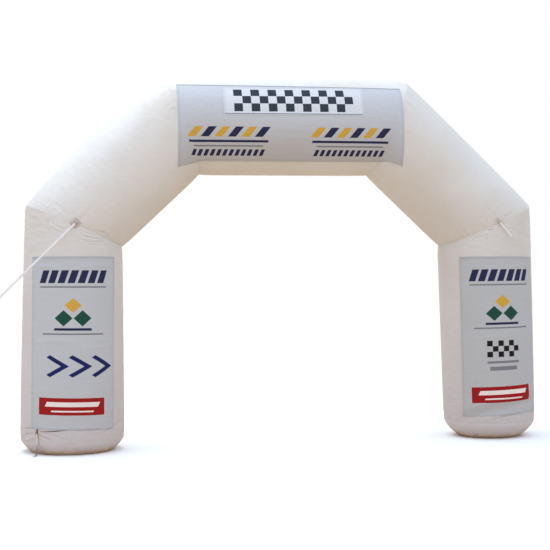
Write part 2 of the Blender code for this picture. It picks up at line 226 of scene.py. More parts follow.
# Soft ridges of slack in the banners, in the same terms.
BANNER_SLACK = [
    Crease(-1.20, 4.330, -0.93, 3.860, 0.030, 0.017, 0.0051, 0.0),
    Crease(-1.12, 4.330, -0.86, 3.860, 0.030, 0.016, 0.0054, 0.0),
    Crease(-1.04, 4.310, -0.80, 3.880, 0.028, 0.016, 0.0051, 0.0),
    Crease(-0.96, 4.280, -0.74, 3.900, 0.025, 0.017, 0.0041, 0.0),
    Crease(0.94, 4.290, 1.20, 3.900, -0.025, 0.019, 0.0044, 0.0),
    Crease(1.03, 4.290, 1.28, 3.930, -0.020, 0.019, 0.0041, 0.0),
    Crease(-0.30, 3.840, 0.42, 3.800, 0.020, 0.022, 0.0041, 0.0),
    Crease(-0.20, 3.740, 0.50, 3.720, 0.015, 0.022, 0.0037, 0.0),
    Crease(-3.10, 2.215, -2.72, 2.150, 0.030, 0.017, 0.0048, 0.0),
    Crease(-2.62, 2.180, -2.14, 2.225, 0.025, 0.018, 0.0044, 0.0),
    Crease(-3.06, 1.330, -2.60, 1.300, 0.030, 0.022, 0.0044, 0.0),
    Crease(-2.60, 1.250, -2.16, 1.300, -0.020, 0.022, 0.0041, 0.0),
    Crease(-3.08, 0.560, -2.66, 0.470, 0.020, 0.017, 0.0051, 0.0),
    Crease(-2.62, 0.450, -2.15, 0.520, 0.020, 0.018, 0.0048, 0.0),
    Crease(2.16, 2.170, 2.58, 2.110, 0.020, 0.018, 0.0044, 0.0),
    Crease(2.62, 2.120, 3.06, 2.180, 0.020, 0.018, 0.0044, 0.0),
    Crease(2.18, 1.240, 2.66, 1.290, 0.020, 0.022, 0.0041, 0.0),
    Crease(2.20, 0.450, 2.66, 0.520, -0.020, 0.018, 0.0051, 0.0),
    Crease(2.60, 0.500, 3.10, 0.560, -0.020, 0.018, 0.0048, 0.0),
]

BEAM_BANNER = Banner("beam_banner", -1.39, 1.39, -0.525, -0.523, 0.506, 0.494, 0.156, 0.110)
HEADER_PANEL = Banner("header_panel", -0.845, 0.885, 0.070, 0.078, 0.464, 0.482, 0.0, 0.0)
LEG_BANNERS = {
    "left_leg": Banner("left_leg_banner", -0.562, 0.530, 0.325, 0.292, 2.335, 2.327, 0.0, 0.0),
    "right_leg": Banner("right_leg_banner", -0.535, 0.552, 0.285, 0.335, 2.292, 2.285, 0.0, 0.0),
}
BEAM_SIZE = (2.78, 1.028)  # as cut, laid flat
HEADER_SIZE = (1.73, 0.40)
LEG_SIZE = (1.092, 2.02)

ANCHORS = [
    Anchor("left_knee", 224.5),
    Anchor("right_knee", 309.0),
    Anchor("left_foot", 270.0),
]

# Routes of the straps, as distance along and height above, from the bar of the ring that each is looped on.
GUY_TILT_DEG = 14.0
GUY_ROUTE = [(0.0, 0.0), (1.30, 0.0)]
LOOSE_TILT_DEG = 3.0
LOOSE_ROUTE = [(0.0, 0.0), (0.12, 0.004), (0.18, 0.002), (0.235, -0.009)]
FOOT_ROUTE = [(0.0, 0.0), (0.216, 0.0), (0.238, 0.010), (0.2468, 0.026), (0.2468, 0.06)]

# ---------------------------------------------------------------- camera
CAMERA_PLACE = Vector((-2.903, -15.039, 2.033))
CAMERA_TURN_DEG = 10.433  # to the right of straight ahead
CAMERA_RISE_DEG = 0.222
CAMERA_ROLL_DEG = -0.664
CAMERA_LENS = 79.93
CAMERA_FAR = 300


def add_camera():
    turn, rise, roll = (math.radians(a) for a in (CAMERA_TURN_DEG, CAMERA_RISE_DEG, CAMERA_ROLL_DEG))
    ahead = Vector((math.sin(turn) * math.cos(rise), math.cos(turn) * math.cos(rise), math.sin(rise)))
    level = Vector((math.cos(turn), -math.sin(turn), 0))
    upright = level.cross(ahead)
    right = level * math.cos(roll) + upright * math.sin(roll)
    axes = Matrix((right, right.cross(ahead), -ahead)).transposed().to_4x4()
    camera = link_object("camera", bpy.data.cameras.new("camera"))
    camera.data.lens = CAMERA_LENS
    camera.data.clip_end = CAMERA_FAR
    camera.matrix_world = Matrix.Translation(CAMERA_PLACE) @ axes
    bpy.context.scene.camera = camera


# ---------------------------------------------------------------- objects and meshes
def link_object(name, data):
    item = bpy.data.objects.new(name, data)
    bpy.context.scene.collection.objects.link(item)
    return item


def baked_mesh(item):
    """The object's mesh with its modifiers applied. The object itself is removed."""
    graph = bpy.context.evaluated_depsgraph_get()
    mesh = bpy.data.meshes.new_from_object(item.evaluated_get(graph), depsgraph=graph)
    bpy.data.objects.remove(item)
    return mesh


def shape_mesh(name, shape):
    """A bmesh as a mesh. The bmesh itself is freed."""
    mesh = bpy.data.meshes.new(name)
    shape.to_mesh(mesh)
    shape.free()
    return mesh


def add_closed_line(curve, points):
    spline = curve.splines.new("POLY")
    spline.points.add(len(points) - 1)
    for point, place in zip(spline.points, points):
        point.co = (*place, 1)
    spline.use_cyclic_u = True


def new_curve(name):
    curve = bpy.data.curves.new(name, "CURVE")
    curve.dimensions = "3D"
    return curve


def lofted_mesh(name, rings_of_places, uv_of):
    """A skin through rings of places, capped at both ends. uv_of takes a ring's and a place's number."""
    shape = bmesh.new()
    uv = shape.loops.layers.uv.new("UVMap")
    rings = [[shape.verts.new(place) for place in ring] for ring in rings_of_places]
    count = len(rings[0])
    for k in range(len(rings) - 1):
        for i in range(count):
            j = (i + 1) % count
            face = shape.faces.new((rings[k][i], rings[k][j], rings[k + 1][j], rings[k + 1][i]))
            for loop, (row, spot) in zip(face.loops, ((k, i), (k, i + 1), (k + 1, i + 1), (k + 1, i))):
                loop[uv].uv = uv_of(row, spot)
    shape.faces.new(rings[0][::-1])
    shape.faces.new(rings[-1])
    bmesh.ops.recalc_face_normals(shape, faces=shape.faces)
    return shape_mesh(name, shape)


def finish_piece(name, mesh, material, nodes=(), edge_deg=None):
    """Makes a mesh in world space a piece of the object, standing for the given nodes."""
    mesh.name = name
    mesh.materials.clear()
    mesh.materials.append(material)
    mesh.shade_smooth()
    item = link_object(name, mesh)
    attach(item, "root")
    if nodes:
        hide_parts(*nodes)
    if edge_deg:
        mesh.set_sharp_from_angle(angle=math.radians(edge_deg))
    return item


def values_of(items, key, kind=np.int32, each=1):
    """One of a mesh's values as an array, with this many numbers for each item."""
    found = np.empty(len(items) * each, kind)
    items.foreach_get(key, found)
    return found


def points_of(mesh):
    return values_of(mesh.vertices, "co", np.float32, 3).reshape(-1, 3)


def normals_of(mesh):
    return values_of(mesh.vertices, "normal", np.float32, 3).reshape(-1, 3)


def set_points(mesh, points):
    mesh.vertices.foreach_set("co", points.astype(np.float32).ravel())
    mesh.update()


# ---------------------------------------------------------------- node helpers
class Nodes:
    """Adds nodes to a tree. Every input may be a number, a vector or another node's output."""

    def __init__(self, tree):
        self.tree = tree

    def feed(self, socket, value):
        if isinstance(value, bpy.types.NodeSocket):
            self.tree.links.new(value, socket)
        else:
            socket.default_value = value

    def add(self, kind, inputs=(), **settings):
        """A node with these settings, and with inputs given by name in a dict or else in order."""
        node = self.tree.nodes.new(kind)
        for key, value in settings.items():
            setattr(node, key, value)
        for key, value in inputs.items() if isinstance(inputs, dict) else enumerate(inputs):
            self.feed(node.inputs[key], value)
        return node

    def math(self, operation, *values, clamp=False):
        return self.add("ShaderNodeMath", values, operation=operation, use_clamp=clamp).outputs[0]

    def plus(self, first, second):
        return self.math("ADD", first, second)

    def minus(self, first, second):
        return self.math("SUBTRACT", first, second)

    def times(self, first, *others):
        """The product of all the values."""
        for other in others:
            first = self.math("MULTIPLY", first, other)
        return first

    def over(self, first, second):
        return self.math("DIVIDE", first, second)

    def absolute(self, value):
        return self.math("ABSOLUTE", value)

    def sine(self, value):
        return self.math("SINE", value)

    def below(self, value, limit):
        """1 where the value is less than the limit, and 0 elsewhere."""
        return self.math("LESS_THAN", value, limit)

    def vector(self, operation, *values):
        return self.add("ShaderNodeVectorMath", values, operation=operation).outputs[0]

    def combine(self, x, y, z):
        return self.add("ShaderNodeCombineXYZ", (x, y, z)).outputs[0]

    def separate(self, vector):
        return self.add("ShaderNodeSeparateXYZ", (vector,)).outputs

    def coordinates(self, kind):
        return self.add("ShaderNodeTexCoord").outputs[kind]

    def noise(self, vector, scale, detail, roughness):
        inputs = {"Vector": vector, "Scale": scale, "Detail": detail, "Roughness": roughness}
        return self.add("ShaderNodeTexNoise", inputs).outputs[0]

    def between(self, value, low, high, to_low=0.0, to_high=1.0):
        """The value's place between low and high, clamped, on a new range."""
        inputs = {"Value": value, "From Min": low, "From Max": high, "To Min": to_low, "To Max": to_high}
        return self.add("ShaderNodeMapRange", inputs).outputs["Result"]

    def mix(self, share, first, second):
        """A blend of two colours."""
        return self.add("ShaderNodeMix", {0: share, 6: first, 7: second}, data_type="RGBA").outputs[2]

    def tinted(self, colour, tone, mask, strength):
        """The colour turned towards the tone, by this strength where the mask is 1."""
        return self.mix(self.times(mask, strength), colour, tone)


def rgb(red, green, blue):
    """A colour given as the 0 to 255 values of a screen, made linear."""
    parts = [value / 255 for value in (red, green, blue)]
    return (*[p / 12.92 if p <= 0.04045 else ((p + 0.055) / 1.055) ** 2.4 for p in parts], 1.0)


FLOAT, VECTOR, INTEGER, MATERIAL, GEOMETRY = (
    f"NodeSocket{kind}" for kind in ("Float", "Vector", "Int", "Material", "Geometry")
)


def new_group(name, kind, inputs, outputs):
    """A node tree whose inputs are rows of a name, a type and a value where it has one.

    Returns the tree, its helper and its input node's sockets."""
    tree = bpy.data.node_groups.new(name, kind)
    for label, socket_type, *value in inputs:
        socket = tree.interface.new_socket(label, in_out="INPUT", socket_type=socket_type)
        if value:
            socket.default_value = value[0]
    for label, socket_type in outputs:
        tree.interface.new_socket(label, in_out="OUTPUT", socket_type=socket_type)
    return tree, Nodes(tree), tree.nodes.new("NodeGroupInput").outputs


def use_tree(item, tree, **values):
    """Runs a geometry tree on an object with these inputs, and returns the result as a plain mesh."""
    modifier = item.modifiers.new(tree.name, "NODES")
    modifier.node_group = tree
    sockets = {entry.name: entry.identifier for entry in tree.interface.items_tree if entry.in_out == "INPUT"}
    for key, value in values.items():
        modifier[sockets[key.replace("_", " ")]] = value
    bpy.context.view_layer.update()
    return baked_mesh(item)


def end_geometry(n, geometry, material):
    """Ends a geometry tree with plain faces in one material."""
    realized = n.add("GeometryNodeRealizeInstances", {"Geometry": geometry}).outputs[0]
    coloured = n.add("GeometryNodeSetMaterial", {"Geometry": realized, "Material": material}).outputs[0]
    n.add("NodeGroupOutput", {"Geometry": coloured})


# ---------------------------------------------------------------- shader groups
WEAVE_GAP = 0.08  # the height under which a weave is open
STREAKS = (9.0, 9.0, 2.2)  # the grain of splashed mud, drawn out upwards
WRINKLE_LENGTH = 0.13


def make_weave_group():
    """Plain weave: a height for bumps and a mask of the gaps between threads, from a place in metres."""
    inputs = [("Place", VECTOR), ("Pitch", FLOAT, 0.0012)]
    tree, n, given = new_group("plain weave", "ShaderNodeTree", inputs, [("Height", FLOAT), ("Gaps", FLOAT)])
    x, y, _ = n.separate(given["Place"])
    waves = [n.sine(n.times(n.over(axis, given["Pitch"]), math.pi)) for axis in (x, y)]
    warp, weft = (n.absolute(wave) for wave in waves)
    over = n.math("GREATER_THAN", n.times(*waves), 0.0)
    height = n.plus(n.times(warp, over), n.times(weft, n.minus(1.0, over)))
    n.add("NodeGroupOutput", {"Height": height, "Gaps": n.below(n.times(warp, weft), WEAVE_GAP)})
    return tree


def make_soil_group():
    """Soiling of cloth outdoors: broad stains, specks, and mud that thins out above the ground."""
    inputs = [("Place", VECTOR), ("Mud Height", FLOAT, 0.16), ("Stains", FLOAT, 0.5)]
    outputs = [("Stain", FLOAT), ("Mud", FLOAT), ("Specks", FLOAT)]
    tree, n, given = new_group("outdoor soil", "ShaderNodeTree", inputs, outputs)
    place = given["Place"]
    broad = n.noise(place, scale=1.3, detail=5.0, roughness=0.6)
    stain = n.times(n.between(broad, 0.42, 0.75), given["Stains"])
    streaky = n.noise(n.vector("MULTIPLY", place, STREAKS), scale=1.0, detail=4.0, roughness=0.65)
    reach = n.times(given["Mud Height"], n.between(streaky, 0.3, 0.75, to_low=0.35, to_high=1.5))
    mud = n.math("SUBTRACT", 1.0, n.over(n.separate(place)[2], reach), clamp=True)
    specks = n.between(n.noise(place, scale=55.0, detail=3.0, roughness=0.7), 0.66, 0.74)
    n.add("NodeGroupOutput", {"Stain": stain, "Mud": mud, "Specks": specks})
    return tree


def make_slack_group():
    """Small soft wrinkles too fine for the mesh, longer across than up, as a height from 0 to 1."""
    inputs = [("Place", VECTOR), ("Spacing", FLOAT, 0.03)]
    tree, n, given = new_group("slack wrinkles", "ShaderNodeTree", inputs, [("Height", FLOAT)])
    size = n.combine(WRINKLE_LENGTH, WRINKLE_LENGTH, given["Spacing"])
    stretched = n.vector("DIVIDE", given["Place"], size)
    wander = n.add("ShaderNodeTexNoise", {"Vector": given["Place"], "Scale": 2.5}).outputs["Color"]
    bent = n.vector("ADD", stretched, wander)
    n.add("NodeGroupOutput", {"Height": n.noise(bent, scale=1.0, detail=3.0, roughness=0.55)})
    return tree


def make_print_group(name, mask_of):
    """The mask of a printed motif, in metres. The detail is the one more number that mask_of takes."""
    inputs = [("Place", VECTOR), ("Centre", VECTOR), ("Half Size", VECTOR), ("Detail", FLOAT, 0.0)]
    tree, n, given = new_group(name, "ShaderNodeTree", inputs, [("Mask", FLOAT)])
    offset = n.separate(n.vector("SUBTRACT", given["Place"], given["Centre"]))[:2]
    half = n.separate(given["Half Size"])[:2]
    n.add("NodeGroupOutput", {"Mask": mask_of(n, offset, half, given["Detail"])})
    return tree


def mask_inside(n, offset, half):
    return n.times(*(n.below(n.absolute(value), limit) for value, limit in zip(offset, half)))


def block_mask(n, offset, half, skew):
    """A parallelogram."""
    x, y = offset
    return mask_inside(n, (n.minus(x, n.times(y, skew)), y), half)


def point_mask(n, offset, half, cut):
    """A diamond, or a chevron where the same diamond, moved to the left by the cut, is taken out of it."""
    x, y = (n.over(value, limit) for value, limit in zip(offset, half))
    diamond = n.below(n.plus(n.absolute(x), n.absolute(y)), 1.0)
    moved = n.below(n.plus(n.absolute(n.plus(x, cut)), n.absolute(y)), 1.0)
    hollow = n.times(moved, n.math("GREATER_THAN", cut, 0.0))
    return n.times(diamond, n.minus(1.0, hollow))


def chequer_mask(n, offset, half, square):
    """Every other square of a block of them."""
    steps = [n.math("FLOOR", n.over(n.plus(value, limit), square)) for value, limit in zip(offset, half)]
    odd = n.math("FLOORED_MODULO", n.plus(*steps), 2.0)
    return n.times(mask_inside(n, offset, half), n.below(odd, 0.5))


GROUPS = {
    "weave": make_weave_group(),
    "soil": make_soil_group(),
    "slack": make_slack_group(),
    "block": make_print_group("printed block", block_mask),
    "diamond": make_print_group("printed point", point_mask),
    "chequer": make_print_group("printed chequer", chequer_mask),
}
GROUPS["chevron"] = GROUPS["diamond"]


def place_group(n, key, **values):
    node = n.add("ShaderNodeGroup", node_tree=GROUPS[key])
    for name, value in values.items():
        n.feed(node.inputs[name.replace("_", " ")], value)
    return node.outputs


def new_material(name, roughness, **fixed):
    """A Principled material with these values on its own sockets. Returns it, its helper and its shader."""
    material = bpy.data.materials.new(name)
    material.use_nodes = True
    shader = material.node_tree.nodes["Principled BSDF"]
    for key, value in {"Roughness": roughness, **fixed}.items():
        shader.inputs[key.replace("_", " ")].default_value = value
    return material, Nodes(material.node_tree), shader


def bump(n, shader, height, distance, strength, below=None):
    inputs = {"Height": height, "Distance": distance, "Strength": strength}
    if below is not None:
        inputs["Normal"] = below
    normal = n.add("ShaderNodeBump", inputs).outputs["Normal"]
    n.feed(shader.inputs["Normal"], normal)
    return normal


# ---------------------------------------------------------------- materials
TUBE_WHITE = rgb(220, 220, 220)
TUBE_STAIN = rgb(206, 199, 192)
TUBE_GREY = rgb(196, 192, 199)
BASE_COOL = rgb(216, 218, 240)
# painted light for the cloth just above the ground
BASE_PAINTED_LIGHT = rgb(232, 222, 214)
MUD_BROWN = rgb(128, 104, 78)
# mud, and painted shade, on webbing near the ground
WET_MUD_AND_SHADE = rgb(98, 86, 76)
# painted shade, laid into the creases
FOLD_SHADE = rgb(58, 52, 50)
BANNER_GREY = rgb(203, 209, 219)
LEFT_BANNER_GREY = rgb(198, 204, 213)
RIGHT_BANNER_GREY = rgb(193, 198, 205)
BANNER_SHADE = rgb(176, 172, 174)
HEM_GREY = rgb(160, 166, 180)
# painted shadow along a banner's top edge
SHADOW_LINE_GREY = rgb(112, 116, 128)
HEADER_WHITE = rgb(222, 228, 238)
# painted shade in the valleys between a webbing's ribs
WEBBING_VALLEY_SHADE = rgb(160, 160, 168)
PATCH_GRIME = rgb(126, 116, 112)
RUST = rgb(96, 66, 44)
THREAD_DARK = rgb(206, 202, 196)
THREAD_PALE = rgb(228, 226, 222)
NAVY = rgb(34, 38, 78)
SLATE = rgb(44, 54, 68)
GREY = rgb(128, 130, 140)
GOLD = rgb(214, 170, 62)
GREEN = rgb(20, 74, 58)
BLUE = rgb(14, 24, 98)
RED = rgb(158, 8, 12)
PRINT_WHITE = rgb(240, 234, 234)
BLACK = rgb(12, 12, 16)

# Each pair of heights is where an effect sets in, coming down, and where it is full.
TUBE_SHADE_HEIGHTS = (3.2, 0.25)
# where the painted light at the foot sets in and where it is full
FOOT_PAINTED_LIGHT_HEIGHTS = (0.08, 0.03)
# where the mud and painted shade on the webbing set in and where they are full
STRAP_DAMP_SHADE_HEIGHTS = (0.32, 0.24)
STRAP_MUD_SHADE_HEIGHTS = (0.16, 0.085)
BANNER_SHADE_TOP = 0.55  # how far up a banner its shade reaches, as a share of its height
INK_COVER = 0.985
CLOTH_VARIATION = 0.93  # the darkest of a banner's ground, as a share of the palest
RAGGED_INK = (0.004, 0.004, 0.0)  # how far the edges of the ink stray
UV_MIDDLE = (0.5, 0.5, 0.0)
NOISE_MIDDLE = (0.5, 0.5, 0.5)
TWILL_PITCH = 0.003
RIB_PITCH = 0.0016


def make_tube_material(name, low_tone, mud_height):
    material, n, shader = new_material(name, roughness=0.5, Specular_IOR_Level=0.35)
    place = n.coordinates("Object")
    height = n.separate(place)[2]
    soil = place_group(n, "soil", Place=place, Mud_Height=mud_height, Stains=0.55)
    folds = n.add("ShaderNodeAttribute", attribute_name="fold_soil").outputs["Fac"]
    colour = n.mix(soil["Stain"], TUBE_WHITE, TUBE_STAIN)
    colour = n.mix(n.between(height, *TUBE_SHADE_HEIGHTS, to_high=0.8), colour, low_tone)
    # painted light: the cloth just above the ground is lightened against the contact shade
    colour = n.mix(n.between(height, *FOOT_PAINTED_LIGHT_HEIGHTS), colour, BASE_PAINTED_LIGHT)
    colour = n.tinted(colour, MUD_BROWN, soil["Mud"], strength=0.6)
    colour = n.tinted(colour, MUD_BROWN, soil["Specks"], strength=0.12)
    # painted shade: the creases are darkened
    colour = n.tinted(colour, FOLD_SHADE, folds, strength=0.9)
    n.feed(shader.inputs["Base Color"], colour)
    n.feed(shader.inputs["Roughness"], n.between(soil["Mud"], 0.0, 1.0, to_low=0.48, to_high=0.85))
    slack = place_group(n, "slack", Place=place, Spacing=0.028)["Height"]
    soft = bump(n, shader, slack, distance=0.0035, strength=0.8)
    weave = place_group(n, "weave", Place=n.coordinates("UV"), Pitch=0.0016)["Height"]
    bump(n, shader, weave, distance=0.00025, strength=0.6, below=soft)
    return material


def droop_at(n, banner, across, up):
    """How far a banner's cloth hangs below the rectangle that it was cut as."""
    left = n.math("POWER", n.between(across, 0.0, LEFT_DROOP, to_low=1.0, to_high=0.0), DROOP_BEND)
    right = n.math("POWER", n.between(across, 1 - RIGHT_DROOP, 1.0), DROOP_BEND)
    low_edge = n.plus(n.times(left, banner.droop_left), n.times(right, banner.droop_right))
    return n.times(low_edge, n.minus(1.0, up))


def make_banner_material(banner, ground, size, prints, shade_low):
    """Printed cloth. Prints lie in metres from the banner's middle, and stay level where a corner droops."""
    material, n, shader = new_material(f"{banner.node} print", roughness=0.75, Specular_IOR_Level=0.15)
    uv = n.coordinates("UV")
    across, up, _ = n.separate(uv)
    cut = n.vector("MULTIPLY", n.vector("SUBTRACT", uv, UV_MIDDLE), (*size, 1.0))
    place = n.vector("SUBTRACT", cut, n.combine(0.0, droop_at(n, banner, across, up), 0.0))
    worn_ground = (*(part * CLOTH_VARIATION for part in ground[:3]), 1.0)
    colour = n.mix(n.noise(place, scale=2.2, detail=4.0, roughness=0.6), ground, worn_ground)
    colour = n.mix(n.between(up, 0.0, BANNER_SHADE_TOP, to_low=shade_low, to_high=0.0), colour, BANNER_SHADE)
    world = n.coordinates("Object")
    soil = place_group(n, "soil", Place=world, Mud_Height=0.3, Stains=0.35)
    colour = n.tinted(colour, TUBE_STAIN, soil["Stain"], strength=0.15)

    wander = n.add("ShaderNodeTexNoise", {"Vector": place, "Scale": 160.0, "Detail": 2.0}).outputs["Color"]
    jitter = n.vector("MULTIPLY", n.vector("SUBTRACT", wander, NOISE_MIDDLE), RAGGED_INK)
    ragged = n.vector("ADD", place, jitter)
    for item in prints:
        motif = {
            "Place": ragged,
            "Centre": (item.x, item.y, 0.0),
            "Half_Size": (item.width / 2, item.height / 2, 1.0),
            "Detail": item.detail,
        }
        mask = place_group(n, item.kind, **motif)["Mask"]
        colour = n.tinted(colour, item.colour, mask, strength=INK_COVER)

    weave = place_group(n, "weave", Place=place, Pitch=0.0022)
    # painted shade: the gaps between the threads are darkened
    colour = n.tinted(colour, BLACK, weave["Gaps"], strength=0.25)
    from_edge = [n.minus(side / 2, n.absolute(value)) for side, value in zip(size, n.separate(cut))]
    hem = n.below(n.math("MINIMUM", *from_edge), HEM_WIDTH)
    colour = n.tinted(colour, HEM_GREY, hem, strength=0.2)
    # painted shadow: a dark line along the banner's top edge, as strong as the painted shade at its foot
    line_width = TOP_SHADOW_LINE / size[1]
    line_edges = (1 - line_width, 1 - TOP_LINE_SOLID * line_width)
    top_shadow = n.between(up, *line_edges, to_high=TOP_LINE_SHARE * shade_low)
    n.feed(shader.inputs["Base Color"], n.mix(top_shadow, colour, SHADOW_LINE_GREY))
    slack = place_group(n, "slack", Place=world, Spacing=0.04)["Height"]
    soft = bump(n, shader, slack, distance=0.006, strength=0.9)
    bump(n, shader, weave["Height"], distance=0.0004, strength=0.7, below=soft)
    return material


def make_webbing_material(name, clean, grimy):
    material, n, shader = new_material(name, roughness=0.8, Sheen_Weight=0.3, Specular_IOR_Level=0.2)
    x, y, _ = n.separate(n.coordinates("UV"))
    twill = n.sine(n.times(n.plus(n.absolute(x), y), math.tau / TWILL_PITCH))
    ribs = n.absolute(n.sine(n.times(x, math.pi / RIB_PITCH)))
    place = n.coordinates("Object")
    height = n.separate(place)[2]
    grime = n.between(n.noise(place, scale=14.0, detail=4.0, roughness=0.6), 0.4, 0.75)
    colour = n.tinted(clean, grimy, grime, strength=0.3)
    # painted shade: the valleys between the ribs are darkened
    colour = n.mix(n.minus(0.25, n.times(ribs, 0.25)), colour, WEBBING_VALLEY_SHADE)
    # mud and painted shade: the webbing darkens towards the ground
    colour = n.mix(n.between(height, *STRAP_DAMP_SHADE_HEIGHTS, to_high=0.2), colour, WET_MUD_AND_SHADE)
    mud = n.times(n.between(height, *STRAP_MUD_SHADE_HEIGHTS), n.between(grime, 0.0, 1.0, to_low=0.8))
    n.feed(shader.inputs["Base Color"], n.mix(mud, colour, WET_MUD_AND_SHADE))
    bump(n, shader, n.plus(n.times(twill, 0.3), ribs), distance=0.0004, strength=0.8)
    return material


def make_patch_material(name, clean, soiled):
    material, n, shader = new_material(name, roughness=0.6, Specular_IOR_Level=0.3)
    place = n.coordinates("Object")
    soil = place_group(n, "soil", Place=place, Mud_Height=0.3, Stains=0.6)
    grime = n.noise(place, scale=45.0, detail=3.0, roughness=0.6)
    colour = n.tinted(n.mix(soil["Stain"], clean, soiled), PATCH_GRIME, grime, strength=0.2)
    n.feed(shader.inputs["Base Color"], colour)
    flat = n.vector("MULTIPLY", n.coordinates("UV"), (PATCH_SIDE, PATCH_SIDE, 1.0))
    weave = place_group(n, "weave", Place=flat, Pitch=0.0014)["Height"]
    bump(n, shader, weave, distance=0.0003, strength=0.7)
    return material


def make_steel_material(name, low, high):
    material, n, shader = new_material(name, roughness=0.4, Metallic=1.0)
    place = n.coordinates("Object")
    spangle = n.noise(place, scale=420.0, detail=4.0, roughness=0.6)
    rust = n.between(n.noise(place, scale=90.0, detail=5.0, roughness=0.7), 0.56, 0.72)
    n.feed(shader.inputs["Base Color"], n.tinted(n.mix(spangle, low, high), RUST, rust, strength=0.6))
    n.feed(shader.inputs["Roughness"], n.between(spangle, 0.2, 0.8, to_low=0.3, to_high=0.6))
    bump(n, shader, spangle, distance=0.0001, strength=0.5)
    return material


def make_thread_material():
    material, n, shader = new_material("sewing thread", roughness=0.7, Sheen_Weight=0.3)
    inputs = {"Vector": n.coordinates("Object"), "Scale": 260.0, "Distortion": 1.5}
    twist = n.add("ShaderNodeTexWave", inputs).outputs["Fac"]
    n.feed(shader.inputs["Base Color"], n.mix(twist, THREAD_DARK, THREAD_PALE))
    bump(n, shader, twist, distance=0.0002, strength=0.5)
    return material


MATERIALS = {
    "tube": make_tube_material("coated tube cloth", TUBE_GREY, 0.06),
    "base": make_tube_material("coated base cloth", BASE_COOL, 0.085),
    "webbing": make_webbing_material("strap webbing", rgb(242, 243, 248), rgb(196, 194, 194)),
    "tab": make_webbing_material("tab webbing", rgb(196, 190, 188), rgb(160, 152, 148)),
    "left_foot_tab": make_webbing_material("soiled tab webbing", rgb(104, 96, 92), rgb(78, 70, 66)),
    "left_knee": make_patch_material("soiled patch cloth", rgb(200, 190, 187), rgb(174, 160, 154)),
    "right_knee": make_patch_material("clean patch cloth", rgb(222, 216, 210), rgb(206, 198, 190)),
    "left_foot": make_patch_material("patch cloth", rgb(212, 204, 200), rgb(190, 178, 170)),
    "steel": make_steel_material("ring steel", rgb(120, 118, 116), rgb(176, 174, 170)),
    "left_foot_ring": make_steel_material("wet ring steel", rgb(62, 58, 56), rgb(98, 94, 90)),
    "thread": make_thread_material(),
}


# ---------------------------------------------------------------- the tubes
PUCKER_GRAIN = 10.0
PUCKER_MIDDLE = 0.1  # of the folded noise, so that puckers go in as well as out
PUCKER_STRETCH = 0.35  # below 1, which draws puckers out along the tube
CLUMP_GRAIN = 1.7
RIPPLE_GRAIN = 2.6
RIPPLE_STRETCH = 8.0  # above 1, which draws ripples out round the tube
SEED_RISE = 2.3


def make_tube_tree():
    """A round tube along +Z, cut slantwise at both ends, swollen on its +X side and drawn in at its seams."""
    ends = ["Start Radius", "End Radius", "Start Slope", "End Slope"]
    sizes = ["Length", *ends, "Swell", "Pucker", "Ripple", "Seed"]
    inputs = [("Sides", INTEGER, 240), ("Rings", INTEGER, 160), *((name, FLOAT, 0.0) for name in sizes)]
    inputs += [("Material", MATERIAL)]
    tree, n, given = new_group("mitred air tube", "GeometryNodeTree", inputs, [("Geometry", GEOMETRY)])
    unit = {"Vertices": given["Sides"], "Side Segments": given["Rings"], "Radius": 1.0, "Depth": 1.0}
    cylinder = n.add("GeometryNodeMeshCylinder", unit).outputs["Mesh"]
    cosine, sine, height = n.separate(n.add("GeometryNodeInputPosition").outputs[0])
    even = n.plus(height, 0.5)
    share = n.minus(even, n.times(n.sine(n.times(even, math.tau)), HOOP_CROWDING / math.tau))
    rest = n.minus(1.0, share)

    def blend(start, end):
        return n.plus(n.times(start, rest), n.times(end, share))

    def cut(end):
        return n.times(n.minus(given[f"{end} Radius"], SEAM_DRAW), cosine, given[f"{end} Slope"])

    def fade(distance, reach):
        return n.math("EXPONENT", n.over(n.times(distance, -1.0), reach))

    begin = n.minus(PIECE_GAP, cut("Start"))
    stop = n.minus(n.minus(given["Length"], PIECE_GAP), cut("End"))
    along = blend(begin, stop)
    outer = n.times(n.plus(cosine, 1.0), 0.5)
    swell = n.times(given["Swell"], n.times(share, rest, 4.0), outer)
    full = n.plus(blend(given["Start Radius"], given["End Radius"]), swell)
    from_start, from_end = n.times(share, given["Length"]), n.times(rest, given["Length"])
    nearest = n.math("MINIMUM", from_start, from_end)
    drawn_in = n.plus(fade(from_start, SEAM_REACH), fade(from_end, SEAM_REACH))
    full = n.minus(full, n.times(drawn_in, SEAM_DRAW))

    # puckers run along the tube from a seam, in clumps, and are highest a little way off it
    seed_shift = n.combine(given["Seed"], 0.0, n.times(given["Seed"], SEED_RISE))
    seeded = n.vector("ADD", n.combine(cosine, sine, n.times(along, PUCKER_STRETCH)), seed_shift)
    peak = n.times(n.over(nearest, PUCKER_REACH), math.e, fade(nearest, PUCKER_REACH))
    folded = n.absolute(n.minus(n.noise(seeded, scale=PUCKER_GRAIN, detail=1.0, roughness=0.5), 0.5))
    clumps = n.between(n.noise(seeded, scale=CLUMP_GRAIN, detail=1.0, roughness=0.5), 0.35, 0.6, to_low=0.25)
    pucker = n.times(n.minus(folded, PUCKER_MIDDLE), peak, clumps, given["Pucker"])

    # ripples run round the tube between its seams
    hoop = n.vector("ADD", seeded, n.combine(0.0, 0.0, n.times(along, RIPPLE_STRETCH)))
    waves = n.minus(n.noise(hoop, scale=RIPPLE_GRAIN, detail=2.0, roughness=0.6), 0.5)
    ripple = n.times(waves, n.minus(1.0, fade(nearest, RIPPLE_REACH)), given["Ripple"])

    radius = n.plus(full, n.plus(n.times(pucker, 2.0), n.times(ripple, 2.0)))
    place = n.combine(n.times(cosine, radius), n.times(sine, radius), along)
    moved = n.add("GeometryNodeSetPosition", {"Geometry": cylinder, "Position": place}).outputs[0]
    end_geometry(n, moved, given["Material"])
    return tree


def middle_of(corner):
    return Vector((corner.x, 0, corner.z))


